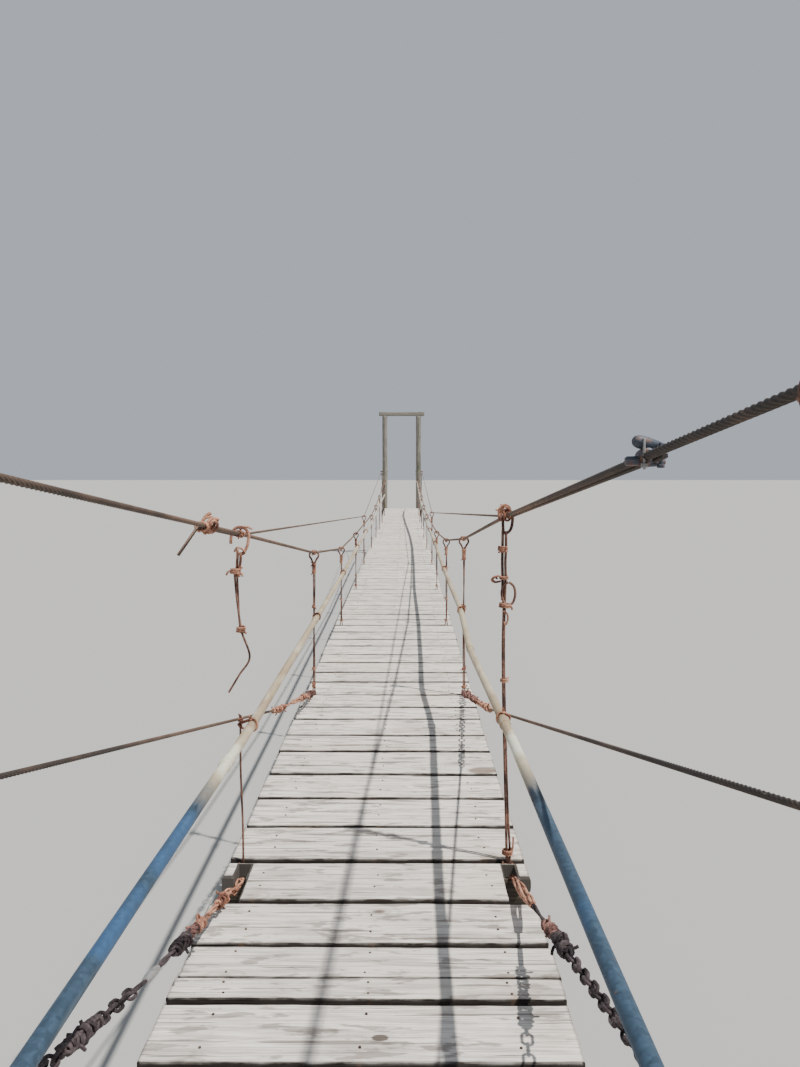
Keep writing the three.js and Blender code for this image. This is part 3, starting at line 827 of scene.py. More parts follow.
# Deck.
boards = {
    "width": 1.22,
    "thickness": 0.05,
    "trim": 0.012,
    "endPlay": 0.010,
    "gap": 0.026,
    "snug": 0.002,
    "play": 0.028,
    "widths": {
        2: [0.325, 0.325, 0.325, 0.326, 0.265, 0.114, 0.177, 0.279, 0.301],
        3: [0.296, 0.306, 0.301, 0.336, 0.274, 0.315, 0.253, 0.287],
    },
    "tightJoint": {2: 5},  # this board lies hard against the next
    "nearBays": 5,
    "sink": 0.002,
    "sway": 0.004,
    "skew": 0.004,
    "thinner": 0.003,
    "wear": (0.0022, 0.007),
    "seed": 11,
}
stringers = {"width": 0.045, "depth": 0.095, "x": [-0.44, 0, 0.44], "inset": 0.103, "wear": (0.0015, 0.002)}
nails = {
    "radius": 0.0042,
    "height": 0.0022,
    "depth": 0.004,
    "sink": 0.0015,
    "spread": 0.055,
    "spreadPlay": 0.02,
    "sidePlay": 0.012,
    "edge": 0.03,
}
nailPlaces = []


def boardWidths(bay, length, chance):
    widths = boards["widths"].get(bay) or [0.305 + chance.uniform(-1, 1) * boards["play"] for _ in range(8)]
    return [w * length / sum(widths) for w in widths]


def addDeckBay(bay):
    chance = random.Random(boards["seed"] + bay)
    near, far = deckEnds(bay)
    length = (far - near).length
    ahead = (far - near).normalized()
    tilt = math.atan2(ahead.z, ahead.y)
    down = Vector((0, math.sin(tilt), -math.cos(tilt)))
    widths = boardWidths(bay, length, chance)
    tight = boards["tightJoint"].get(bay)
    members = []
    start = 0.0
    for index, width in enumerate(widths):
        before = boards["snug"] if index == 0 or index - 1 == tight else boards["gap"] / 2
        after = boards["snug"] if index in (tight, len(widths) - 1) else boards["gap"] / 2
        middle = start + (before + width - after) / 2
        start += width
        seed = chance.random()
        place = near + ahead * middle + down * (boards["thickness"] / 2 + boards["sink"])
        place.x = chance.uniform(-1, 1) * boards["sway"]
        long = boards["width"] - boards["trim"] + chance.uniform(-1, 0) * boards["endPlay"]
        thick = boards["thickness"] - chance.random() * boards["thinner"]
        turn = (tilt, 0, chance.uniform(-1, 1) * boards["skew"])
        members.append((place, (long, width - before - after, thick), seed, turn))
        for x in stringers["x"]:
            for side in (-1, 1):
                play = chance.uniform(-1, 1) * nails["spreadPlay"]
                spread = min(nails["spread"] + play, width / 2 - nails["edge"])
                spot = near + ahead * (middle + side * spread)
                shift = chance.uniform(-1, 1) * nails["sidePlay"]
                nailPlaces.append(Vector((x + shift, spot.y, spot.z - nails["sink"])))
    node = f"deck_bay_{bay:02d}"
    block = "nearBoard" if bay <= boards["nearBays"] else "farBoard"
    piece = timberPiece(f"boards_bay_{bay:02d}", members, block, "boards", node, boards["wear"])
    size = (length - 2 * stringers["inset"], stringers["width"], stringers["depth"])
    place = (near + far) / 2 + down * (boards["thickness"] + stringers["depth"] / 2)
    turn = (0, -tilt, math.pi / 2)
    members = [(place + Vector((x, 0, 0)), size, chance.random(), turn) for x in stringers["x"]]
    name = f"stringers_bay_{bay:02d}"
    timberPiece(name, members, "stringer", "beams", node, stringers["wear"], slots["boards"])
    return piece


# The second bay's last board is sawn out at both ends for the chains: a notch, and a slot from it
# to a strip at the far edge. Each cut is its inner and outer x and its reach back from that edge.
notch = {
    "bay": 2,
    "cuts": [(0.5, 0.7, 0.132, 0.298), (0.506, 0.555, 0.016, 0.150)],
    "ragged": (0.004, 0.006),
    "overrun": 0.1,
}


def cutOut(piece, low, high):
    shape = gridCube((1, 9, 1))
    bmesh.ops.scale(shape, vec=high - low, verts=shape.verts)
    bmesh.ops.translate(shape, vec=(low + high) / 2, verts=shape.verts)
    for vertex in shape.verts:
        vertex.co.x += notch["ragged"][0] * noise.noise(vertex.co * 30)
        vertex.co.y += notch["ragged"][1] * noise.noise(vertex.co * 23)
    cutter = addObject("cutter", meshOf(shape, "cutter"))
    cutter.data.materials.append(finishes["boards"])
    cut = piece.modifiers.new("cut", "BOOLEAN")
    cut.operation = "DIFFERENCE"
    cut.solver = "EXACT"
    cut.object = cutter
    graph = bpy.context.evaluated_depsgraph_get()
    result = bpy.data.meshes.new_from_object(piece.evaluated_get(graph))
    piece.modifiers.clear()
    piece.data = result
    bpy.data.objects.remove(cutter)


def notchBoard(piece, far):
    for sign in sides.values():
        for inner, outer, start, stop in notch["cuts"]:
            left, right = sorted((sign * inner, sign * outer))
            low = Vector((left, far.y - stop, far.z - notch["overrun"]))
            cutOut(piece, low, Vector((right, far.y - start, far.z + notch["overrun"])))
    shape = bmesh.new()
    shape.from_mesh(piece.data)
    bmesh.ops.remove_doubles(shape, verts=shape.verts, dist=0.00003)
    bmesh.ops.triangulate(shape, faces=[face for face in shape.faces if len(face.verts) > 4])
    bmesh.ops.dissolve_degenerate(shape, edges=shape.edges, dist=0.0002)
    shape.to_mesh(piece.data)
    shape.free()
    shaded(piece.data, 55)


def addNails():
    shape = bmesh.new()
    radius, height = nails["radius"], nails["height"]
    profile = [(-nails["depth"], radius), (height / 2, radius), (height, radius * 0.65)]
    for place in nailPlaces:
        lathe(shape, place, upward, profile, 8)
    nodes = [f"deck_bay_{bay:02d}" for bay in range(1, lineCount + 1)]
    addPiece("nail_heads", meshOf(shape, "nail_heads"), "nails", *nodes)


for bay in range(1, lineCount + 1):
    deckPiece = addDeckBay(bay)
    if bay == notch["bay"]:
        notchBoard(deckPiece, deckEnds(bay)[1])
addNails()
print("deck boards laid:", len(nailPlaces), "nails")

# Cross-beams, sills and headers. The trim is what a rough-sawn timber is smaller than its solid.
squared = {
    "beamTrim": (0.044, 0.004, 0.006),
    "endTrim": (0.014, 0.006, 0.006),
    "drop": 0.002,
    "wear": (0.002, 0.006),
}


def squareTimber(name, box, trim, seed, finish, node, drop=0):
    low, high = box
    place = (low + high) / 2 - upward * drop
    member = (place, high - low - Vector(trim), random.Random(seed).random(), (0, 0, 0))
    timberPiece(name, [member], "beam", finish, node, squared["wear"])


for line in range(1, lineCount):
    squareTimber(f"beam_{line:02d}", beamBox(line), squared["beamTrim"], 40 + line, "beams",
                 f"stirrup_{line:02d}", squared["drop"])
for end in towerY:
    for kind, finish in (("sill", "beams"), ("header", "posts")):
        node = f"{kind}_{end}"
        squareTimber(f"{kind}_timber_{end}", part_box(node), squared["endTrim"], kind + end, finish, node)
print("beams, sills and headers placed")

# Posts: round trunks with a drying crack, knots and a chamfered top.
trunk = {
    "corners": 44,
    "rings": 74,
    "chamfer": 0.018,
    "share": 0.972,
    "bulge": 0.009,
    "rough": 0.0016,
    "checkDepth": 0.014,
    "checkWidth": 0.07,
    "checkWander": 0.35,
    "knots": 11,
    "knotHeight": 0.006,
}


# How far round two directions are apart, from minus to plus half a turn.
def turnBetween(angle, other):
    return (angle - other + math.pi) % math.tau - math.pi


# The post's radius at a height and a direction.
def trunkReach(radius, height, z, angle, out, shift, knots, checkAt):
    reach = radius * trunk["share"]
    reach += trunk["bulge"] * noise.noise(shift + Vector((out.x * 0.5, out.y * 0.5, z * 0.5)))
    reach += trunk["rough"] * noise.noise(shift + Vector((out.x * 5, out.y * 5, z * 2)))
    wander = checkAt + trunk["checkWander"] * noise.noise(shift + Vector((0, 0, z * 0.6)))
    opened = 0.5 + 0.5 * noise.noise(shift + Vector((9, 0, z * 0.8)))
    reach -= trunk["checkDepth"] * opened * max(0, 1 - abs(turnBetween(angle, wander)) / trunk["checkWidth"])
    for knotZ, knotAngle, size in knots:
        away = math.hypot(z - knotZ, turnBetween(angle, knotAngle) * radius) / (size * 1.6)
        reach += trunk["knotHeight"] * math.exp(-away * away)
    top = max(0, z - (height - trunk["chamfer"])) / trunk["chamfer"]
    return min(reach - trunk["chamfer"] * 0.75 * top * top, radius)


def addPost(end, side):
    node = f"post_{end}_{side}"
    foot = footPoints(node)
    centre = Vector(foot.mean(axis=0))
    radius = float(np.abs(foot[:, 1] - centre.y).max())
    height = float(nodePoints(node)[:, 2].max())
    chance = random.Random(node)
    shift = Vector([chance.uniform(0, 50) for _ in range(3)])
    knots = [(chance.uniform(0.3, height - 0.3), chance.uniform(0, math.tau), chance.uniform(0.014, 0.026))
             for _ in range(trunk["knots"])]
    checkAt = chance.uniform(0, math.tau)
    levels = [height * k / trunk["rings"] for k in range(trunk["rings"])]
    levels += [height - trunk["chamfer"], height - trunk["chamfer"] * 0.4, height]
    shape = bmesh.new()
    grain = []
    rings = []
    for z in sorted(levels):
        rings.append([])
        for k in range(trunk["corners"]):
            angle = math.tau * k / trunk["corners"]
            out = spoke(Vector((1, 0, 0)), Vector((0, 1, 0)), angle)
            reach = trunkReach(radius, height, z, angle, out, shift, knots, checkAt)
            rings[-1].append(shape.verts.new(centre + out * reach + upward * z))
            grain.append((z + shift.x, out.x * radius + shift.y, out.y * radius + shift.z))
    skin(shape, rings)
    for ring, z in ((rings[0][::-1], 0), (rings[-1], height - 0.002)):
        middle = shape.verts.new(centre + upward * z)
        grain.append((z + shift.x, shift.y, shift.z))
        for a, b in zip(ring, ring[1:] + ring[:1]):
            shape.faces.new((a, b, middle))
    mesh = meshOf(shape, node)
    storeValues(mesh, "grainPlace", grain)
    addPiece(f"trunk_{end}_{side}", mesh, "posts", node, sharpAngle=50)


bolts = {"saddle": 0.014, "stay": 0.010, "washer": 0.020, "postFace": 0.0885}


# Each bolt is a shank with a nut and a washer at its tip, a washer on the post's outer face, and a
# washer and a head on its inner face.
def addBolts(end, side):
    node = f"post_{end}_{side}"
    sign = sides[side]
    centreX = abs(float(footPoints(node)[:, 0].mean()))
    shape = bmesh.new()
    for index, tip in enumerate(reversed(boltEnds(node))):
        radius = bolts["stay"] if end == "near" and index > 0 else bolts["saddle"]
        washer = radius + bolts["washer"]
        nut = radius * 1.62
        outer = abs(tip.x) + 0.001
        face = outer - centreX
        slim = washer - 0.001
        for x, way, profile, corners in (
            (centreX, 1, [(0, radius), (face + 0.012, radius), (face + 0.0145, radius * 0.75)], 16),
            (outer - 0.006, 1, [(0, slim), (0.001, washer), (0.005, washer), (0.006, slim)], 28),
            (outer, 1, [(0, nut), (0.009, nut), (0.010, radius * 1.45)], 6),
            (centreX + bolts["postFace"], 1, [(-0.006, washer), (0.0, washer), (0.001, slim)], 28),
            (centreX - bolts["postFace"], -1, [(-0.006, washer), (0.002, washer), (0.003, slim)], 28),
            (centreX - bolts["postFace"], -1, [(0, nut), (0.011, nut), (0.013, radius * 1.4)], 6),
        ):
            lathe(shape, Vector((sign * x, tip.y, tip.z)), Vector((sign * way, 0, 0)), profile, corners)
    addPiece(f"bolts_{end}_{side}", meshOf(shape, node), "chain", node)


towers = [(end, side) for end in towerY for side in sides]
for end, side in towers:
    addPost(end, side)
for end, side in towers:
    addBolts(end, side)
print("posts raised")

# Ropes: finer near the camera than beyond it.
ropes = {
    "main": {"radius": 0.009, "lay": 0.112},
    "second": {"radius": 0.006, "lay": 0.088},
    "stay": {"radius": 0.0065, "lay": 0.09},
    "groove": 0.26,
    "near": {"corners": 18, "steps": 12},
    "far": {"corners": 12, "steps": 8},
    "nearUntil": -4.0,
}
paths = {}


def layRope(name, path, kind, fineness, node, turned=0.0):
    sizes = ropes[kind]
    step = sizes["lay"] / ropes[fineness]["steps"]
    mesh = grow(name, pathMesh(path), ropeRecipe, "rope", radius=sizes["radius"], lay=sizes["lay"], step=step,
                corners=ropes[fineness]["corners"], turned=turned, groove=ropes["groove"])
    addPiece(name, mesh, "rope", node, sharpAngle=70)
    return turned + sum((b - a).length for a, b in zip(path, path[1:])) / sizes["lay"] * math.tau


for side in sides:
    for kind in ("main", "second"):
        node = f"{kind}_rope_{side}"
        path = ropePath(node, ropes[kind]["radius"])
        paths[kind, side] = path
        name = f"{kind}_rope_strands_{side}"
        turned = layRope(f"{name}_near", cutPath(path, -math.inf, ropes["nearUntil"]), kind, "near", node)
        layRope(f"{name}_far", cutPath(path, ropes["nearUntil"], math.inf), kind, "far", node, turned)
print("ropes laid")

# Handrails: pipe with couplings, open ends and soft bends at the ties.
rails = {
    "radius": 0.019,
    "inside": 0.016,
    "corners": 24,
    "bend": 0.16,
    "mouth": 0.07,
    "coupling": {"radius": 0.0232, "length": 0.075, "inside": 0.0186},
    "couplings": {"left": [1.81, 2.95, 5.24, 7.76, 10.18], "right": [1.97, 2.67, 5.07, 7.6, 10.0]},
}


def softened(path, reach):
    made = [path[0]]
    for before, here, after in zip(path, path[1:], path[2:]):
        back, ahead = before - here, after - here
        a = here + back.normalized() * min(reach, back.length * 0.4)
        c = here + ahead.normalized() * min(reach, ahead.length * 0.4)
        for step in range(7):
            t = step / 6
            made.append(a * (1 - t) ** 2 + here * 2 * t * (1 - t) + c * t * t)
    return made + [path[-1]]


# A coupling's profile, the same from both ends.
def couplingProfile():
    big = rails["coupling"]["radius"]
    half = rails["coupling"]["length"] / 2
    rim = [(0, big - 0.0015), (0.002, big), (0.012, big), (0.014, big - 0.001)]
    rim.insert(0, (0, rails["coupling"]["inside"]))
    return [(at - half, radius) for at, radius in rim] + [(half - at, radius) for at, radius in rim[::-1]]


# The pipe's outer wall runs from end to end, then back inside each end for a little way.
def addRail(side):
    path = softened(clusters(nodePoints(f"handrail_{side}"), 1), rails["bend"])
    paths["rail", side] = path
    last = len(path) - 1
    inside = rails["inside"]
    start = path[0].lerp(path[1], rails["mouth"] / (path[1] - path[0]).length)
    stop = path[-1].lerp(path[-2], rails["mouth"] / (path[-2] - path[-1]).length)
    whole = [(start, 0, inside), (path[0], 0, inside)]
    whole += [(place, index, rails["radius"]) for index, place in enumerate(path)]
    whole += [(path[-1], last, inside), (stop, last, inside)]
    shape = bmesh.new()
    rings = []
    for place, index, radius in whole:
        ahead = (path[min(index + 1, last)] - path[max(index - 1, 0)]).normalized()
        across = ahead.cross(upward).normalized()
        rings.append(ringOf(shape, place, across, across.cross(ahead), radius, rails["corners"]))
    skin(shape, rings)
    shape.faces.new(rings[0])
    shape.faces.new(rings[-1])
    for line in rails["couplings"][side]:
        place, ahead, across, up = frameOn(path, lineY(line))
        lathe(shape, place, ahead, couplingProfile(), rails["corners"])
    addPiece(f"handrail_pipe_{side}", meshOf(shape, "rail"), "zinc", f"handrail_{side}", sharpAngle=40)


for side in sides:
    addRail(side)
print("handrails run")

# Hangers: doubled rods under a teardrop ring, closed and mended with softer tie wire.
hangers = {
    "rod": 0.0046,
    "tie": 0.0034,
    "ringInside": 0.0268,
    "ringReach": 0.032,
    "ringDrop": 0.060,
    "ringOverlap": 0.9,
    "ringWire": 0.0066,
    "pairGap": 0.0052,
    "legSpread": 0.020,
    "legHeight": 0.10,
    "ropeSlope": Vector((0, 1, -0.12)),
    "knots": {  # heights of the ties on a hanger, where they can be read off
        ("left", 3): [1.824, 1.385, 1.277],
        ("right", 3): [1.83, 1.385, 1.255],
    },
}


# Tie wire wound round an axis, with its two ends left standing out.
def wound(centre, axis, radius, turns, pitch, chance, tail=0.013):
    axis = axis.normalized()
    across = axis.orthogonal().normalized()
    up = axis.cross(across)
    begin = chance.uniform(0, math.tau)
    steps = max(int(turns * 12), 6)
    run = []
    for k in range(steps + 1):
        angle = begin + math.tau * turns * k / steps
        slip = (k / steps - 0.5) * turns * pitch
        reach = radius * (1 + 0.06 * math.sin(3 * angle))
        run.append(centre + axis * slip + spoke(across, up, angle) * reach)
    for end in (0, -1):
        place = run[end]
        out = (place - centre).normalized()
        loose = axis * chance.uniform(-0.7, 0.7) + out + upward * chance.uniform(-0.3, 0.6)
        extra = [place + loose.normalized() * tail * t for t in (0.5, 1.0)]
        run = extra[::-1] + run if end == 0 else run + extra
    return run


def knotRun(place, chance, turns=2.6, radius=0.0122, tail=0.013):
    return wound(place, Vector((0.08, 0, 1)), radius, turns, 0.0064, chance, tail)


# The place in the upright plane at y that stands at a pixel of the photograph.
def seenAt(u, v, y):
    scale = (y - view["y"]) / view["focalPixels"]
    return Vector((view["x"] + (u - view["vanish"]) * scale, y, view["z"] - (v - view["horizon"]) * scale))


# The same for a pixel with a third number, which stands off the plane in mm.
def seenOff(spot, y):
    u, v, off = spot
    return seenAt(u, v, y) + Vector((0, off / 1000, 0))


# Wires through such pixels: each a radius in mm and its points.
def tracedRuns(wires, y):
    return [(smooth([seenOff(spot, y) for spot in spots], 5), radius / 1000) for radius, spots in wires]


# Two rods side by side that turn slowly round each other.
def pairRuns(places, start, twist):
    runs = []
    for half in (0, math.pi):
        run = []
        for place, share in places:
            out = spoke(Vector((1, 0, 0)), Vector((0, 1, 0)), start + twist * share + half)
            run.append(place + out * hangers["pairGap"])
        runs.append(run)
    return runs


def legRuns(x, y, forkZ, footZ, bottomZ):
    runs = []
    for leg in (-1, 1):
        spread = leg * hangers["legSpread"]
        feet = [(-leg * 0.003, forkZ + 0.03), (leg * 0.004, forkZ), (spread * 0.55, forkZ - 0.04),
                (spread, footZ - 0.01), (spread, bottomZ - 0.016)]
        runs.append((smooth([Vector((x + off, y, z)) for off, z in feet], 4), hangers["rod"]))
    return runs


def hangerRuns(side, line, rope, ropeRadius, footZ, bottomZ, chance):
    tie, reach = hangers["tie"], hangers["ringReach"]
    centre = rope + upward * (ropeRadius + 0.0006 - hangers["ringInside"])
    x, y = rope.x, rope.y
    low = Vector((x, y, centre.z - hangers["ringDrop"]))
    sweep = math.pi + 2 * hangers["ringOverlap"]
    ring = [low + Vector((0.004, 0.003, 0))]
    for k in range(17):
        angle = sweep * k / 16 - hangers["ringOverlap"]
        ring.append(centre + Vector((reach * math.cos(angle), 0, reach * math.sin(angle))))
    ring.append(low + Vector((-0.004, -0.003, 0)))
    rods = [(smooth(ring, 3), hangers["ringWire"])]
    ties = [
        (knotRun(low - upward * 0.004, chance, 3.0, 0.0135), tie),
        (knotRun(low - upward * 0.066, chance, 2.2, 0.0118), tie),
    ]
    if line > 2:
        ties.append((wound(low - upward * 0.034, upward, 0.0122, 5.0, 0.0100, chance, 0.008), 0.0042))
    # doubled rod down to the fork above the deck
    forkZ = footZ + hangers["legHeight"]
    top = low.z + 0.012
    twist = chance.uniform(2.0, 5.0)
    start = chance.uniform(0, math.tau)
    lean = [chance.uniform(-0.0035, 0.0035) for _ in range(2)]
    places = []
    for k in range(17):
        share = k / 16
        bow = math.sin(math.pi * share)
        off = lean[0] * bow + 0.001 * math.sin(9 * share)
        places.append((Vector((x + off, y + lean[1] * bow, top + (forkZ - top) * share)), share))
    rods += [(smooth(run, 2), hangers["rod"]) for run in pairRuns(places, start, twist)]
    shares = (0.30 + chance.uniform(-0.05, 0.05), 0.72 + chance.uniform(-0.05, 0.08))
    heights = hangers["knots"].get((side, line)) or [top + (forkZ - top) * share for share in shares]
    for height in heights:
        ties.append((knotRun(Vector((x, y, height)), chance), tie))
    rods += legRuns(x, y, forkZ, footZ, bottomZ)
    ties.append((knotRun(Vector((x, y, forkZ + 0.004)), chance, 2.0), tie))
    # keeper wraps on the rope at both sides of the ring
    slope = hangers["ropeSlope"]
    for shift in (-0.028, 0.0, 0.030):
        wrap = wound(rope + slope * shift, slope, ropeRadius + tie * 0.9, 2.6, 0.0085, chance, 0.015)
        ties.append((wrap, tie))
    return rods, ties


def railTie(side, y, hangerX, chance):
    pipe = along(paths["rail", side], y)
    inner = hangerX - pipe.x
    across = Vector((1 if inner > 0 else -1, 0, 0))
    reach = rails["radius"] + hangers["tie"]
    runs = []
    for turn in (-1, 0, 1):
        loop = []
        for k in range(24):
            angle = math.tau * k / 24
            c, s = math.cos(angle), math.sin(angle)
            out = reach + max(0, c) ** 3 * (abs(inner) - rails["radius"] + 0.006)
            lift = Vector((0, turn * 0.0085 + 0.004 * s, reach * s - turn * 0.005))
            loop.append(pipe + across * out * c + lift)
        runs.append((loop, hangers["tie"], True))
    knot = pipe + across * 0.004 + Vector((0, -0.004, rails["radius"] + 0.006))
    tail = 0.006 if y < lineY(1.5) else 0.016
    runs.append((wound(knot, Vector((0.4, -0.5, 1)), 0.0048, 1.6, 0.006, chance, tail), hangers["tie"]))
    return runs


# The mended hanger at the right end of beam 2, wire by wire.
mended = {
    "rods": [
        (6.2, [(503.2, 531.3, 0), (503.4, 521, 15), (505.6, 512, 11), (508.6, 509.8, 0), (511.6, 513, -14),
               (512, 520, -14), (510.8, 528, -8), (507.7, 532.4, -3), (503.6, 533, 0)]),
        (5.8, [(502.8, 530, 4), (502.6, 545, 5), (502.3, 562, 4), (502.6, 580, 4), (502.4, 600, 6)]),
        (5.8, [(505.8, 531, -4), (505.8, 546, -5), (505.2, 562, -4), (505.4, 576, -3), (504.8, 602, 5)]),
        (5.2, [(508, 582, -6), (503.6, 585, -6), (501.4, 593, -5), (503.6, 602, -4), (508, 605, -4),
               (512.8, 602, -4), (515, 593.5, -4), (513.4, 586, -5), (509, 582, -6)]),
        (5.6, [(503.6, 600, 2), (503.6, 612, 0), (503.0, 630, 0), (502.7, 650, 0), (503.1, 690, 0),
               (504.3, 750, 0), (505.7, 810, 0), (506.6, 856, 0), (507.6, 866, 0)]),
        (5.2, [(505.4, 603, 12), (504.6, 620, 11), (504.2, 650, 11), (504.7, 690, 11), (506.1, 750, 11),
               (507.9, 810, 10), (509.8, 850, 4), (509.2, 868, 2)]),
    ],
    "ties": [
        (4.6, [(511, 516.6, 6), (509.6, 507.6, 0), (504, 504.6, -18), (499, 508, -24), (498, 514, -20),
               (501.6, 519, -8), (506.8, 515, 14), (508.4, 508.4, 20), (503, 507, 26), (499, 510, 24),
               (496.4, 510, 22)]),
        (4.6, [(501, 504.4, -4), (502.8, 510, -16), (504, 518.6, -14), (508.6, 520.4, 4), (511.6, 515, 12),
               (507.2, 509.4, 6), (500.6, 512.4, -14), (498.6, 517.6, -10), (501.6, 520.4, 8),
               (505.4, 514, 18)]),
        (4.4, [(499, 513, -8), (503, 506.6, -20), (508.6, 508.6, -16), (510.6, 513.6, 0), (505, 512, 16),
               (500, 515.6, 8)]),
        (4.2, [(503, 577.4, -9), (498, 575.6, -12), (493, 577, -11), (491.6, 580.2, -6), (495, 582, -4),
               (500.6, 581, -3)]),
        (4.0, [(497, 578.6, -6), (494.6, 576.8, -9), (492.2, 579.4, -8), (494.6, 581.4, -4)]),
        (4.0, [(503, 611, -8), (506.6, 613.4, -11), (507.4, 618.6, -11), (505.4, 624, -10),
               (503.8, 621, -6)]),
        (4.2, [(506.6, 606, -12), (511, 606.6, -10), (511.8, 609.4, -8)]),
        (4.2, [(507.6, 852.6, -8), (512.2, 847, -9), (513, 836, -6)]),
        (4.0, [(505, 865, -8), (501, 868.6, -10), (499.4, 872.6, -8)]),
        (5.4, [(512.4, 869.6, -40), (508.6, 872.6, -40), (507.8, 879, -40), (510.4, 884.6, -40),
               (514.4, 885.4, -40), (517, 881, -40), (516, 873.4, -40), (512.4, 869.6, -36),
               (509.6, 867, -10)]),
    ],
    "knots": [  # pixels, turns and radius in mm
        (502.8, 549, 3.2, 17.5),
        (504.0, 577.6, 1.8, 15.0),
        (505.2, 605.2, 2.4, 22.5),
        (504.2, 680, 2.0, 14.0),
        (507.4, 851.6, 3.0, 19.0),
        (507.6, 865, 3.2, 20.0),
    ],
}


def mendedRuns(rope, footZ, bottomZ, chance):
    rods, ties = (tracedRuns(mended[kind], rope.y) for kind in ("rods", "ties"))
    for u, v, turns, radius in mended["knots"]:
        ties.append((knotRun(seenAt(u, v, rope.y), chance, turns, radius / 1000, 0.010), 0.0040))
    slope = hangers["ropeSlope"]
    ties.append((wound(rope - slope * 0.012, slope, 0.0125, 2.2, 0.0075, chance), hangers["tie"]))
    return rods + legRuns(rope.x, rope.y, footZ + 0.03, footZ, bottomZ), ties


# The plate and the two nuts under the beam that hold a hanger's legs.
plates = {
    "half": (0.038, 0.03),
    "under": 0.007,
    "over": 0.002,
    "rounding": 0.0015,
    "nutTop": 0.006,
    "nut": [(0, 0.0085), (0.007, 0.0085), (0.008, 0.0075)],
}


def plate(shape, x, y, bottomZ):
    halfX, halfY = plates["half"]
    low = Vector((x - halfX, y - halfY, bottomZ - plates["under"]))
    high = Vector((x + halfX, y + halfY, bottomZ + plates["over"]))
    made = bmesh.ops.create_cube(shape, size=1)["verts"]
    bmesh.ops.scale(shape, vec=high - low, verts=made)
    bmesh.ops.translate(shape, vec=(low + high) / 2, verts=made)
    edges = list({e for v in made for e in v.link_edges})
    bmesh.ops.bevel(shape, geom=edges, offset=plates["rounding"], segments=2, profile=0.5, affect="EDGES")
    for leg in (-1, 1):
        start = Vector((x + leg * hangers["legSpread"], y, bottomZ - plates["nutTop"]))
        lathe(shape, start, -upward, plates["nut"], 6)


def addHangers(line):
    low, high = beamBox(line)
    y = (low.y + high.y) / 2
    node = f"stirrup_{line:02d}"
    kind = "second" if line == lineCount // 2 else "main"
    rods, ties = [], []
    shape = bmesh.new()
    for side in sides:
        if (line, side) == (2, "left"):
            continue
        chance = random.Random(f"{side}{line}")
        rope = along(paths[kind, side], y)
        if (line, side) == (2, "right"):
            newRods, newTies = mendedRuns(rope, high.z, low.z, chance)
        else:
            newRods, newTies = hangerRuns(side, line, rope, ropes[kind]["radius"], high.z, low.z, chance)
        rods += newRods
        ties += newTies
        rail = paths["rail", side]
        if rail[0].y < y < rail[-1].y:
            ties += railTie(side, y, rope.x, chance)
        plate(shape, rope.x, y, low.z)
    wirePiece(f"hanger_rods_{line:02d}", rods, "wire", node)
    wirePiece(f"hanger_ties_{line:02d}", ties, "tie", node, 7)
    addPiece(f"hanger_plates_{line:02d}", meshOf(shape, "feet"), "chain", node)


for line in range(1, lineCount):
    addHangers(line)
print("hangers tied")

# The snapped hanger, wire by wire, and the stub that is left of it on the beam.
snapped = {
    "wires": [
        (6.4, [(231, 543.5, -9), (231.8, 536, -14), (234.6, 529.2, -13), (239.4, 527.2, -3),
               (244.6, 528.8, 6), (247.7, 534, 11), (247.8, 540, 10), (246.6, 546.6, 5), (244, 551.6, 2),
               (241, 554.2, 0), (239.4, 553.2, -4)]),
        (5.8, [(240.6, 552.4, -5), (240.6, 560, -4), (239.4, 568, -3), (238.0, 577, -4)]),
        (5.8, [(237.2, 549.6, 2), (237.2, 556, 2), (236.6, 566, 3), (235.6, 577, 3)]),
        (4.4, [(240, 529.4, -10), (246, 526.6, -13), (252.7, 529, -12)]),
        (4.4, [(233, 570, -12), (228.6, 571.6, -12), (226.7, 575, -10)]),
        (4.4, [(238.4, 572.6, -11), (241.6, 573.2, -10), (243, 576.4, -8)]),
        (4.4, [(234.6, 551.6, -8), (237.6, 547.4, -11), (242.6, 549, -9), (244.4, 553, 0), (240, 555.4, 4)]),
    ],
    "stubWires": [(3.6, [(241, 868, -8), (239, 871.5, -10), (235.4, 875.6, -14), (233, 878.5, -20)])],
    "stubKnot": (244.6, 867.4),
    "footX": -0.546,
}


def addBrokenHanger(chance):
    node = "hanger_broken_left"
    points = nodePoints(node)
    rope = along(paths["main", "left"], lineY(2))
    ringBottom = rope.z + 0.0096 - hangers["ringInside"] - hangers["ringReach"]
    bends = clusters(points[points[:, 2] < ringBottom - 0.02], 2)[::-1]
    path = smooth(bends, 8)
    doubled = [p for p in path if p.z > bends[2].z - 0.02]
    places = [(place, k / len(doubled)) for k, place in enumerate(doubled)]
    rods = [(run, hangers["rod"]) for run in pairRuns(places, 0.3, 2.2)]
    rods.append(([p for p in path if p.z < bends[2].z + 0.03], hangers["rod"]))
    ties = tracedRuns(snapped["wires"], rope.y)
    for place, radius in ((bends[0], 0.0190), (bends[2], 0.0160)):
        ties.append((wound(place, Vector((0.1, 0, 1)), radius, 3.2, 0.0076, chance, 0.010), 0.0040))
    slope = hangers["ropeSlope"]
    for shift in (-0.030, 0.026):
        ties.append((wound(rope + slope * shift, slope, 0.0124, 2.2, 0.0075, chance, 0.012), hangers["tie"]))
    wirePiece("snapped_hanger_left", rods, "wire", node)
    wirePiece("snapped_ties_left", ties, "tie", node, 7)


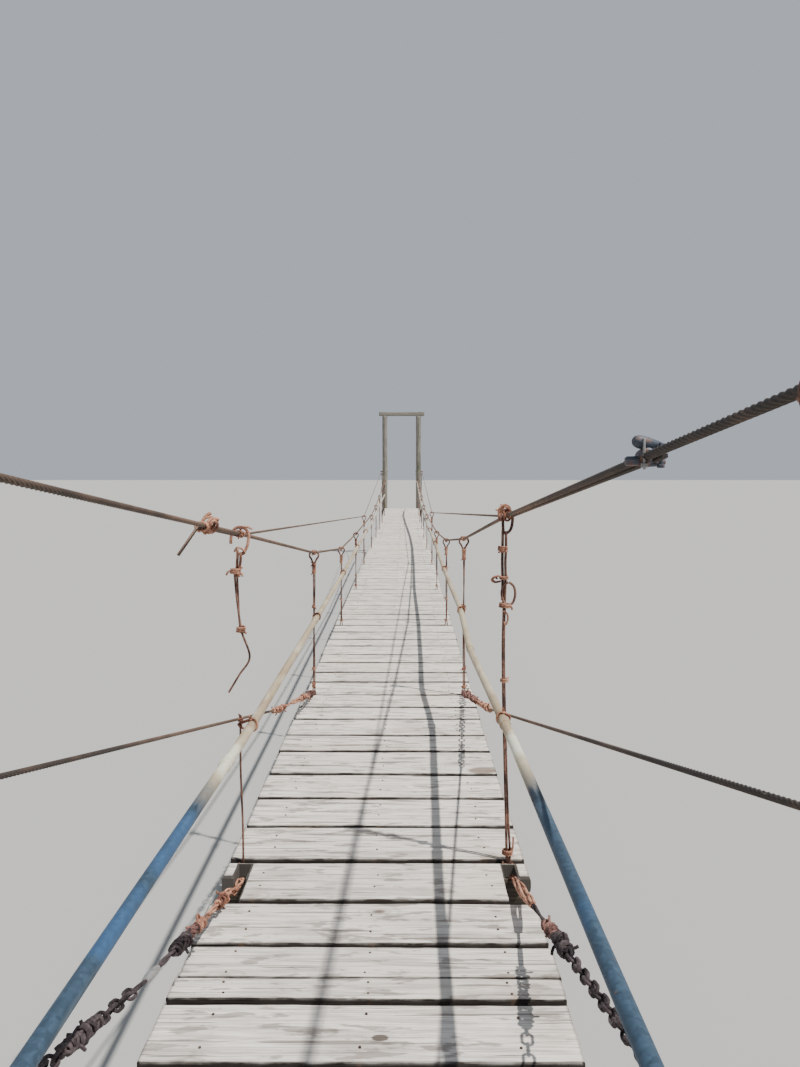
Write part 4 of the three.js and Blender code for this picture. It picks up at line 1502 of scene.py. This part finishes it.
def addStub(chance):
    points = nodePoints("stirrup_02")
    low, high = beamBox(2)
    tip = Vector(points[(points[:, 0] < 0) & (points[:, 2] > high.z + 0.05)].mean(axis=0))
    foot = Vector((snapped["footX"], tip.y, low.z + 0.05))
    bent = [foot, foot.lerp(tip, 0.35) + Vector((0.002, 0, 0)), foot.lerp(tip, 0.7), tip]
    bent[2] -= Vector((0.003, 0.002, 0))
    wirePiece("snapped_stub_left", [(smooth(bent, 6), hangers["rod"])], "wire", "stirrup_02")
    ties = [(wound(tip - upward * 0.02, upward, 0.0085, 2.5, 0.0068, chance, 0.016), hangers["tie"])]
    ties += railTie("left", tip.y, tip.x, chance)
    ties.append((knotRun(seenAt(*snapped["stubKnot"], tip.y), chance, 2.6, 0.0150, 0.012), hangers["tie"]))
    ties += tracedRuns(snapped["stubWires"], tip.y)
    wirePiece("stub_ties_left", ties, "tie", "stirrup_02", 7)


brokenChance = random.Random(202)
addBrokenHanger(brokenChance)
addStub(brokenChance)

# Stays: each is made of parts one after another, from the beam back to the near post. A part is its
# kind, its finish and where it starts and stops, in metres ahead of the camera. Then strands have
# their count, spread, wire radius and turns, a clump its reach, turns and wire radius, and a chain its
# links. A single link has one place, then its length, width and wire radius.
links = {
    "fine": {"wire": 0.0040, "length": 0.062, "width": 0.028, "pitch": 0.0455},
    "heavy": {"wire": 0.0046, "length": 0.062, "width": 0.036, "pitch": 0.0445},
}
stays = {
    ("chain", "right"): [
        ("strands", "tie", 3.10, 2.73, 5, 0.0150, 0.0050, 0.35),
        ("strands", "heavy", 2.78, 2.48, 2, 0.0046, 0.0046, 0.6),
        ("clump", "clump", 2.52, 2.37, 0.017, 8, 0.0048),
        ("clump", "heavy", 2.39, 2.22, 0.021, 8, 0.0054),
        ("chain", "heavy", 2.26, -1.55, "heavy"),
    ],
    ("chain", "left"): [
        ("link", "tie", 3.15, 0.060, 0.036, 0.0050),
        ("chain", "tie", 3.14, 2.88, "fine"),
        ("strands", "tie", 3.10, 2.90, 3, 0.0120, 0.0042, 0.5),
        ("clump", "tie", 2.94, 2.82, 0.018, 6, 0.0046),
        ("strands", "tie", 2.84, 2.62, 3, 0.0060, 0.0042, 0.8),
        ("clump", "tie", 2.65, 2.55, 0.016, 7, 0.0046),
        ("strands", "clump", 2.60, 2.42, 6, 0.0125, 0.0058, 0.8),
        ("clump", "heavy", 2.48, 2.34, 0.020, 8, 0.0052),
        ("strands", "heavy", 2.36, 2.20, 2, 0.0046, 0.0044, 0.6),
        ("barrel", "bolt", 2.215, 2.095),
        ("link", "heavy", 2.045, 0.115, 0.030, 0.0050),
        ("chain", "heavy", 2.000, -1.55, "heavy"),
        ("clump", "heavy", 1.82, 1.62, 0.016, 9, 0.0048),
    ],
    ("rope", "left"): [
        ("clump", "clump", 5.70, 5.28, 0.021, 9, 0.0048),
        ("clump", "tie", 5.34, 5.02, 0.016, 7, 0.0044),
        ("chain", "tie", 5.28, 4.80, "heavy"),
        ("strands", "tie", 5.60, 4.95, 2, 0.0140, 0.0042, 1.2),
        ("strands", "tie", 4.84, 4.60, 2, 0.0052, 0.0044, 0.8),
        ("link", "tie", 4.54, 0.12, 0.034, 0.0052),
        ("strands", "tie", 4.50, 4.20, 2, 0.0052, 0.0044, 0.8),
        ("clump", "tie", 4.50, 4.14, 0.015, 9, 0.0044),
    ],
    ("rope", "right"): [
        ("clump", "clump", 5.70, 5.26, 0.021, 9, 0.0048),
        ("clump", "clump", 5.30, 4.86, 0.018, 9, 0.0046),
        ("chain", "tie", 5.10, 4.33, "heavy"),
        ("clump", "tie", 4.62, 4.22, 0.015, 9, 0.0044),
    ],
}
stayRopeEnd = 4.29  # metres ahead of the camera


# The middle of an oval link's wire, as (across, ahead): two half circles with straights between.
def ovalPoints(length, width, wire, steps):
    half = width / 2 - wire
    straight = length / 2 - wire - half
    return [
        (half * math.cos(angle), end * straight + half * math.sin(angle))
        for end, first in ((1, 0), (-1, math.pi))
        for angle in (first + math.pi * k / steps for k in range(steps + 1))
    ]


def makeLink(size):
    oval = ovalPoints(size["length"], size["width"], size["wire"], 6)
    run = [Vector((across, 0, ahead)) for across, ahead in oval]
    mesh = grow("link", runsMesh([(run, size["wire"], True)]), wireRecipe, "chain", corners=6)
    return addObject("link", mesh)


linkShapes = {name: makeLink(size) for name, size in links.items()}


def chainPiece(name, path, size, finish, node, seed):
    pitch = links[size]["pitch"]
    mesh = grow(name, pathMesh(path), chainRecipe, finish, pitch=pitch, link=linkShapes[size], seed=seed)
    addPiece(name, mesh, finish, node, sharpAngle=60)


def between(path, start, stop, share):
    return frameOn(path, view["y"] + start + (stop - start) * share)


# Wires that run side by side and turn slowly round each other.
def strandRuns(path, start, stop, count, spread, wire, turns):
    runs = []
    for strand in range(count):
        run = []
        for k in range(19):
            place, ahead, across, up = between(path, start, stop, k / 18)
            turn = math.tau * (strand / count + turns * k / 18)
            reach = spread * (0.6 + 0.4 * math.sin(math.pi * k / 18))
            run.append(place + spoke(across, up, turn) * reach)
        runs.append((run, wire))
    return runs


# A rough ball of wire wound over itself, with loose ends that stick out.
def clumpRuns(path, start, stop, reach, turns, wire, chance):
    runs = []
    for way, layer, deep in ((-0.8, 0, 0.72), (1, 1, 1.0)):
        steps = turns * 10
        lean = chance.uniform(-0.5, 0.5)
        run = []
        for k in range(steps + 1):
            share = k / steps
            place, ahead, across, up = between(path, start, stop, share)
            turn = math.tau * (turns * share * way + layer * 0.4)
            bulge = 0.60 + 0.32 * math.sin(math.pi * share)
            bulge += 0.62 * noise.noise(Vector((turn * 0.45, layer * 7, lean)))
            out = reach * bulge * deep
            slip = ahead * lean * 0.6 * out * math.cos(turn)
            run.append(place + slip + spoke(across, up, turn) * out)
        runs.append((run, wire))
    for _ in range(3):
        place, ahead, across, up = between(path, start, stop, chance.uniform(0.15, 0.85))
        out = spoke(across, up, chance.uniform(0, math.tau))
        bend = out.cross(ahead) * chance.uniform(-0.5, 0.5) + ahead * chance.uniform(-0.9, 0.9)
        curl = ((0.5, 0), (1.1, 0), (1.6, 0.5), (1.9, 1))
        runs.append(([place + (out * far + bend * bent) * reach for far, bent in curl], wire * 0.85))
    return runs


def linkRun(path, at, length, width, wire, roll):
    place, ahead, across, up = between(path, at, at, 0)
    flat = spoke(across, up, roll)
    run = [place + flat * wide + ahead * far for wide, far in ovalPoints(length, width, wire, 8)]
    return run, wire, True


# A turnbuckle: a barrel with a rod and an eye at each end.
def barrelMesh(path, begin, end):
    start, stop = (along(path, view["y"] + at) for at in (begin, end))
    size = (stop - start).length
    half = [(0, 0.0048), (0.012, 0.0048), (0.013, 0.0085), (0.026, 0.0085), (0.030, 0.0108)]
    profile = half + [(size / 2, 0.0116)] + [(size - at, radius) for at, radius in half[::-1]]
    shape = bmesh.new()
    lathe(shape, start, stop - start, profile, 16)
    return meshOf(shape, "barrel")


def addStay(kind, side):
    node = f"{kind}_stay_{side}"
    chance = random.Random(node)
    path = clusters(nodePoints(node), 1)
    groups = {}
    for index, (part, finish, start, *sizes) in enumerate(stays[kind, side]):
        if part == "chain":
            run = cutPath(path, view["y"] + sizes[0], view["y"] + start)
            chainPiece(f"{kind}_links_{side}_{index}", run, sizes[1], finish, node, index)
        elif part == "barrel":
            addPiece(f"turnbuckle_{side}", barrelMesh(path, start, *sizes), finish, node, slot="rusty_wire")
        elif part == "link":
            groups.setdefault(finish, []).append(linkRun(path, start, *sizes, chance.uniform(0.2, 0.8)))
        elif part == "strands":
            groups.setdefault(finish, []).extend(strandRuns(path, start, *sizes))
        else:
            groups.setdefault(finish, []).extend(clumpRuns(path, start, *sizes, chance))
    for finish, runs in groups.items():
        wirePiece(f"{kind}_stay_{finish}_{side}", runs, finish, node, 7)
    if kind == "rope":
        layRope(f"stay_rope_{side}", [along(path, view["y"] + stayRopeEnd), path[0]], "stay", "near", node)


for kind, side in stays:
    addStay(kind, side)

# The clamp on the right, by finish. Each bar runs between two pixels, whose third number stands off
# the plane in mm, with radii in mm at shares of its length, and has so many corners. The saddle is
# radii in mm at metres along the rope.
clip = {
    "clip": [
        ((631.0, 440.8, -14), (667.0, 448.6, 8),
         [(0, 6.0), (0.04, 9.5), (0.14, 12.2), (0.40, 12.8), (0.70, 10.8), (0.92, 8.2), (1, 5.5)], 20),
        ((637.5, 463.5, -10), (664.5, 462.0, 4), [(0, 5.0), (0.06, 7.6), (0.92, 7.6), (1, 5.0)], 16),
        ((624.0, 461.4, -6), (641.5, 461.0, -6), [(0, 7.6), (0.08, 9.4), (0.90, 9.4), (1, 8.0)], 6),
        ((657.5, 443.0, -16), (657.5, 466.5, -16), [(0, 3.0), (0.03, 3.6), (0.97, 3.6), (1, 3.0)], 12),
        ((657.5, 464.2, -16), (657.5, 468.0, -16), [(0, 6.0), (0.15, 6.8), (0.85, 6.8), (1, 6.0)], 6),
    ],
    "bolt": [
        ((640.2, 438.6, -22), (640.2, 469.6, -22), [(0, 2.0), (0.02, 2.5), (0.98, 2.5), (1, 2.0)], 12),
        ((640.2, 464.4, -22), (640.2, 468.0, -22), [(0, 5.2), (0.15, 6.0), (0.85, 6.0), (1, 5.2)], 6),
        ((640.2, 463.6, -22), (640.2, 464.6, -22), [(0, 6.6), (0.3, 7.2), (0.7, 7.2), (1, 6.6)], 16),
    ],
    "saddle": [(-0.022, 10.0), (-0.019, 14.0), (-0.012, 16.0), (0.014, 16.0), (0.021, 14.0), (0.024, 10.0)],
}


def addClip(name, finish):
    node = "rope_clip_right"
    y = middleY(node)
    shape = bmesh.new()
    for begin, end, radii, corners in clip[finish]:
        start, stop = seenOff(begin, y), seenOff(end, y)
        length = (stop - start).length
        profile = [(share * length, radius / 1000) for share, radius in radii]
        lathe(shape, start, stop - start, profile, corners)
    if finish == "clip":
        place, ahead, across, up = frameOn(paths["main", "right"], y)
        profile = [(at, radius / 1000) for at, radius in clip["saddle"]]
        lathe(shape, place + across * 0.004 + up * 0.002, ahead, profile)
    addPiece(name, meshOf(shape, name), finish, node)


addClip("clamp_right", "clip")
addClip("clamp_bolt_right", "bolt")

# The lashing on the left: thick wires crossed over it with short loose ends, and three coils, each
# with its shift along the rope, its lean and its turns.
lashing = {
    "wires": [
        (5.6, [(199.4, 531.6, -14), (202.6, 523, -20), (207, 515.6, -16), (211, 513.3, -6)]),
        (5.2, [(204.4, 534, 8), (201.8, 527, -16), (205, 519, -20), (211, 517, -8), (213.4, 523, 14),
               (209.6, 530.6, 16), (204.8, 533.4, 4)]),
        (5.6, [(211.6, 533, 6), (208.6, 528, -17), (209.4, 521.4, -20), (213.6, 518.4, -10),
               (218.9, 520, -2)]),
        (5.2, [(206.4, 532.6, 10), (210.6, 525, -18), (214.8, 520.6, -14), (216.8, 525, 8), (213, 531.6, 14),
               (208, 533, 0)]),
    ],
    "coils": [(-0.026, 0.5, 2.4), (0.0, -0.45, 2.2), (0.024, 0.25, 2.6)],
    "wide": 0.0215,
    "high": 0.0150,
    "wire": 0.0036,
}


def addLashing():
    node = "rope_lashing_left"
    y = middleY(node)
    place, ahead, across, up = frameOn(paths["main", "left"], y)
    middle = place - across * 0.008 - up * 0.003
    runs = tracedRuns(lashing["wires"], y)
    for slip, lean, turns in lashing["coils"]:
        axis = (ahead + across * lean * 0.3 + up * lean * 0.2).normalized()
        steps = int(turns * 16)
        run = []
        for k in range(steps + 1):
            angle = math.tau * turns * k / steps
            slide = ahead * slip + axis * 0.0075 * (k / steps - 0.5) * turns
            run.append(middle + slide + spoke(across * lashing["wide"], up * lashing["high"], angle))
        runs.append((run, lashing["wire"]))
    wirePiece("lashing_left", runs, "tie", node)


addLashing()
print("stays, clip and lashing fitted")

# Ground anchors: a cast block with a rod, a nut and a socket for each rope.
anchors = {
    "rod": 0.012,
    "rodLength": 0.47,
    "ropeStart": 0.7004,
    "nearestRod": 17,
    "top": 0.48,
    "trim": (0.006, 0.006, 0.003),
    "chamfer": 0.02,
    "cells": (30, 9, 8),
    "nut": [(0.40, 0.0205), (0.416, 0.0205), (0.418, 0.018)],
    "socket": [(0.45, 0.013), (0.452, 0.018), (0.470, 0.019), (0.474, 0.024), (0.520, 0.024), (0.526, 0.020),
               (0.60, 0.0195), (0.606, 0.022), (0.640, 0.022), (0.695, 0.014), (0.6996, 0.0125)],
}


def addAnchorBlock(end, node):
    foot = footPoints(node)
    low, high = Vector(foot.min(axis=0)), Vector(foot.max(axis=0)) + upward * anchors["top"]
    middle = (low + high) / 2
    shape = gridCube(anchors["cells"])
    bmesh.ops.scale(shape, vec=high - low - Vector(anchors["trim"]), verts=shape.verts)
    bmesh.ops.translate(shape, vec=middle, verts=shape.verts)
    bevelRims(shape, anchors["chamfer"], profile=0.6)
    for vertex in shape.verts:
        rough = noise.noise(vertex.co * 7) * 0.0016 + noise.noise(vertex.co * 23) * 0.0008
        vertex.co -= (vertex.co - Vector((0, middle.y, middle.z))).normalized() * abs(rough)
        vertex.co.z = max(vertex.co.z, 0.0)
    addPiece(f"anchor_block_{end}", meshOf(shape, node), "concrete", node, sharpAngle=40)


def addAnchorRods(end, node):
    shape = bmesh.new()
    for kind in ("main", "second"):
        for side in sides:
            path = paths[kind, side] if end == "near" else paths[kind, side][::-1]
            if abs(path[0].y) < anchors["nearestRod"]:
                continue  # this end is at the clip or the lashing
            back = (path[1] - path[0]).normalized()
            hold = path[0] - back * anchors["ropeStart"]
            lathe(shape, hold, back, [(0, anchors["rod"]), (anchors["rodLength"], anchors["rod"])], 16)
            lathe(shape, hold, back, anchors["socket"], 24)
            lathe(shape, hold, back, anchors["nut"], 6)
    addPiece(f"anchor_rods_{end}", meshOf(shape, node), "chain", node)


for end in towerY:
    addAnchorBlock(end, f"anchor_{end}")
    addAnchorRods(end, f"anchor_{end}")
print("anchors cast")

for spare in [*blocks.values(), *linkShapes.values()]:
    bpy.data.objects.remove(spare)

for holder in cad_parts.values():
    holder.data.materials.clear()
    holder.data.materials.append(finishes["beams"])

# Floor and light.
studio = {
    "floorSize": 600,
    "floorTone": (0.36, 0.36, 0.355, 1),
    "sunEnergy": 6.6,
    "sunSoftness": 1.0,
    "sunFrom": (0.45, -0.21, 1.0),
    "sunTone": (1.0, 0.965, 0.90),
    "sky": 0.60,
    "skyTone": (0.76, 0.83, 0.92, 1),
}


def addFloor():
    bpy.ops.mesh.primitive_plane_add(size=studio["floorSize"])
    floor = bpy.context.object
    floor.name = "studio_floor"
    paint = Finish("paleFloor", 0.1)
    paint.shader.inputs["Base Color"].default_value = studio["floorTone"]
    paint.shader.inputs["Roughness"].default_value = 0.9
    floor.data.materials.append(paint.material)
    floor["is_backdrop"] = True


def addLight():
    sun = bpy.data.lights.new("keyLight", "SUN")
    sun.energy = studio["sunEnergy"]
    sun.angle = math.radians(studio["sunSoftness"])
    sun.color = studio["sunTone"]
    addObject("keyLight", sun).rotation_euler = Vector(studio["sunFrom"]).to_track_quat("Z", "Y").to_euler()
    world = bpy.data.worlds.new("studioSky")
    world.use_nodes = True
    background = world.node_tree.nodes["Background"]
    background.inputs["Color"].default_value = studio["skyTone"]
    background.inputs["Strength"].default_value = studio["sky"]
    bpy.context.scene.world = world


addFloor()
addLight()

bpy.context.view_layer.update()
shown = [piece.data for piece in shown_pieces() if piece.type == "MESH"]
print("triangles:", sum(len(face.vertices) - 2 for mesh in shown for face in mesh.polygons))
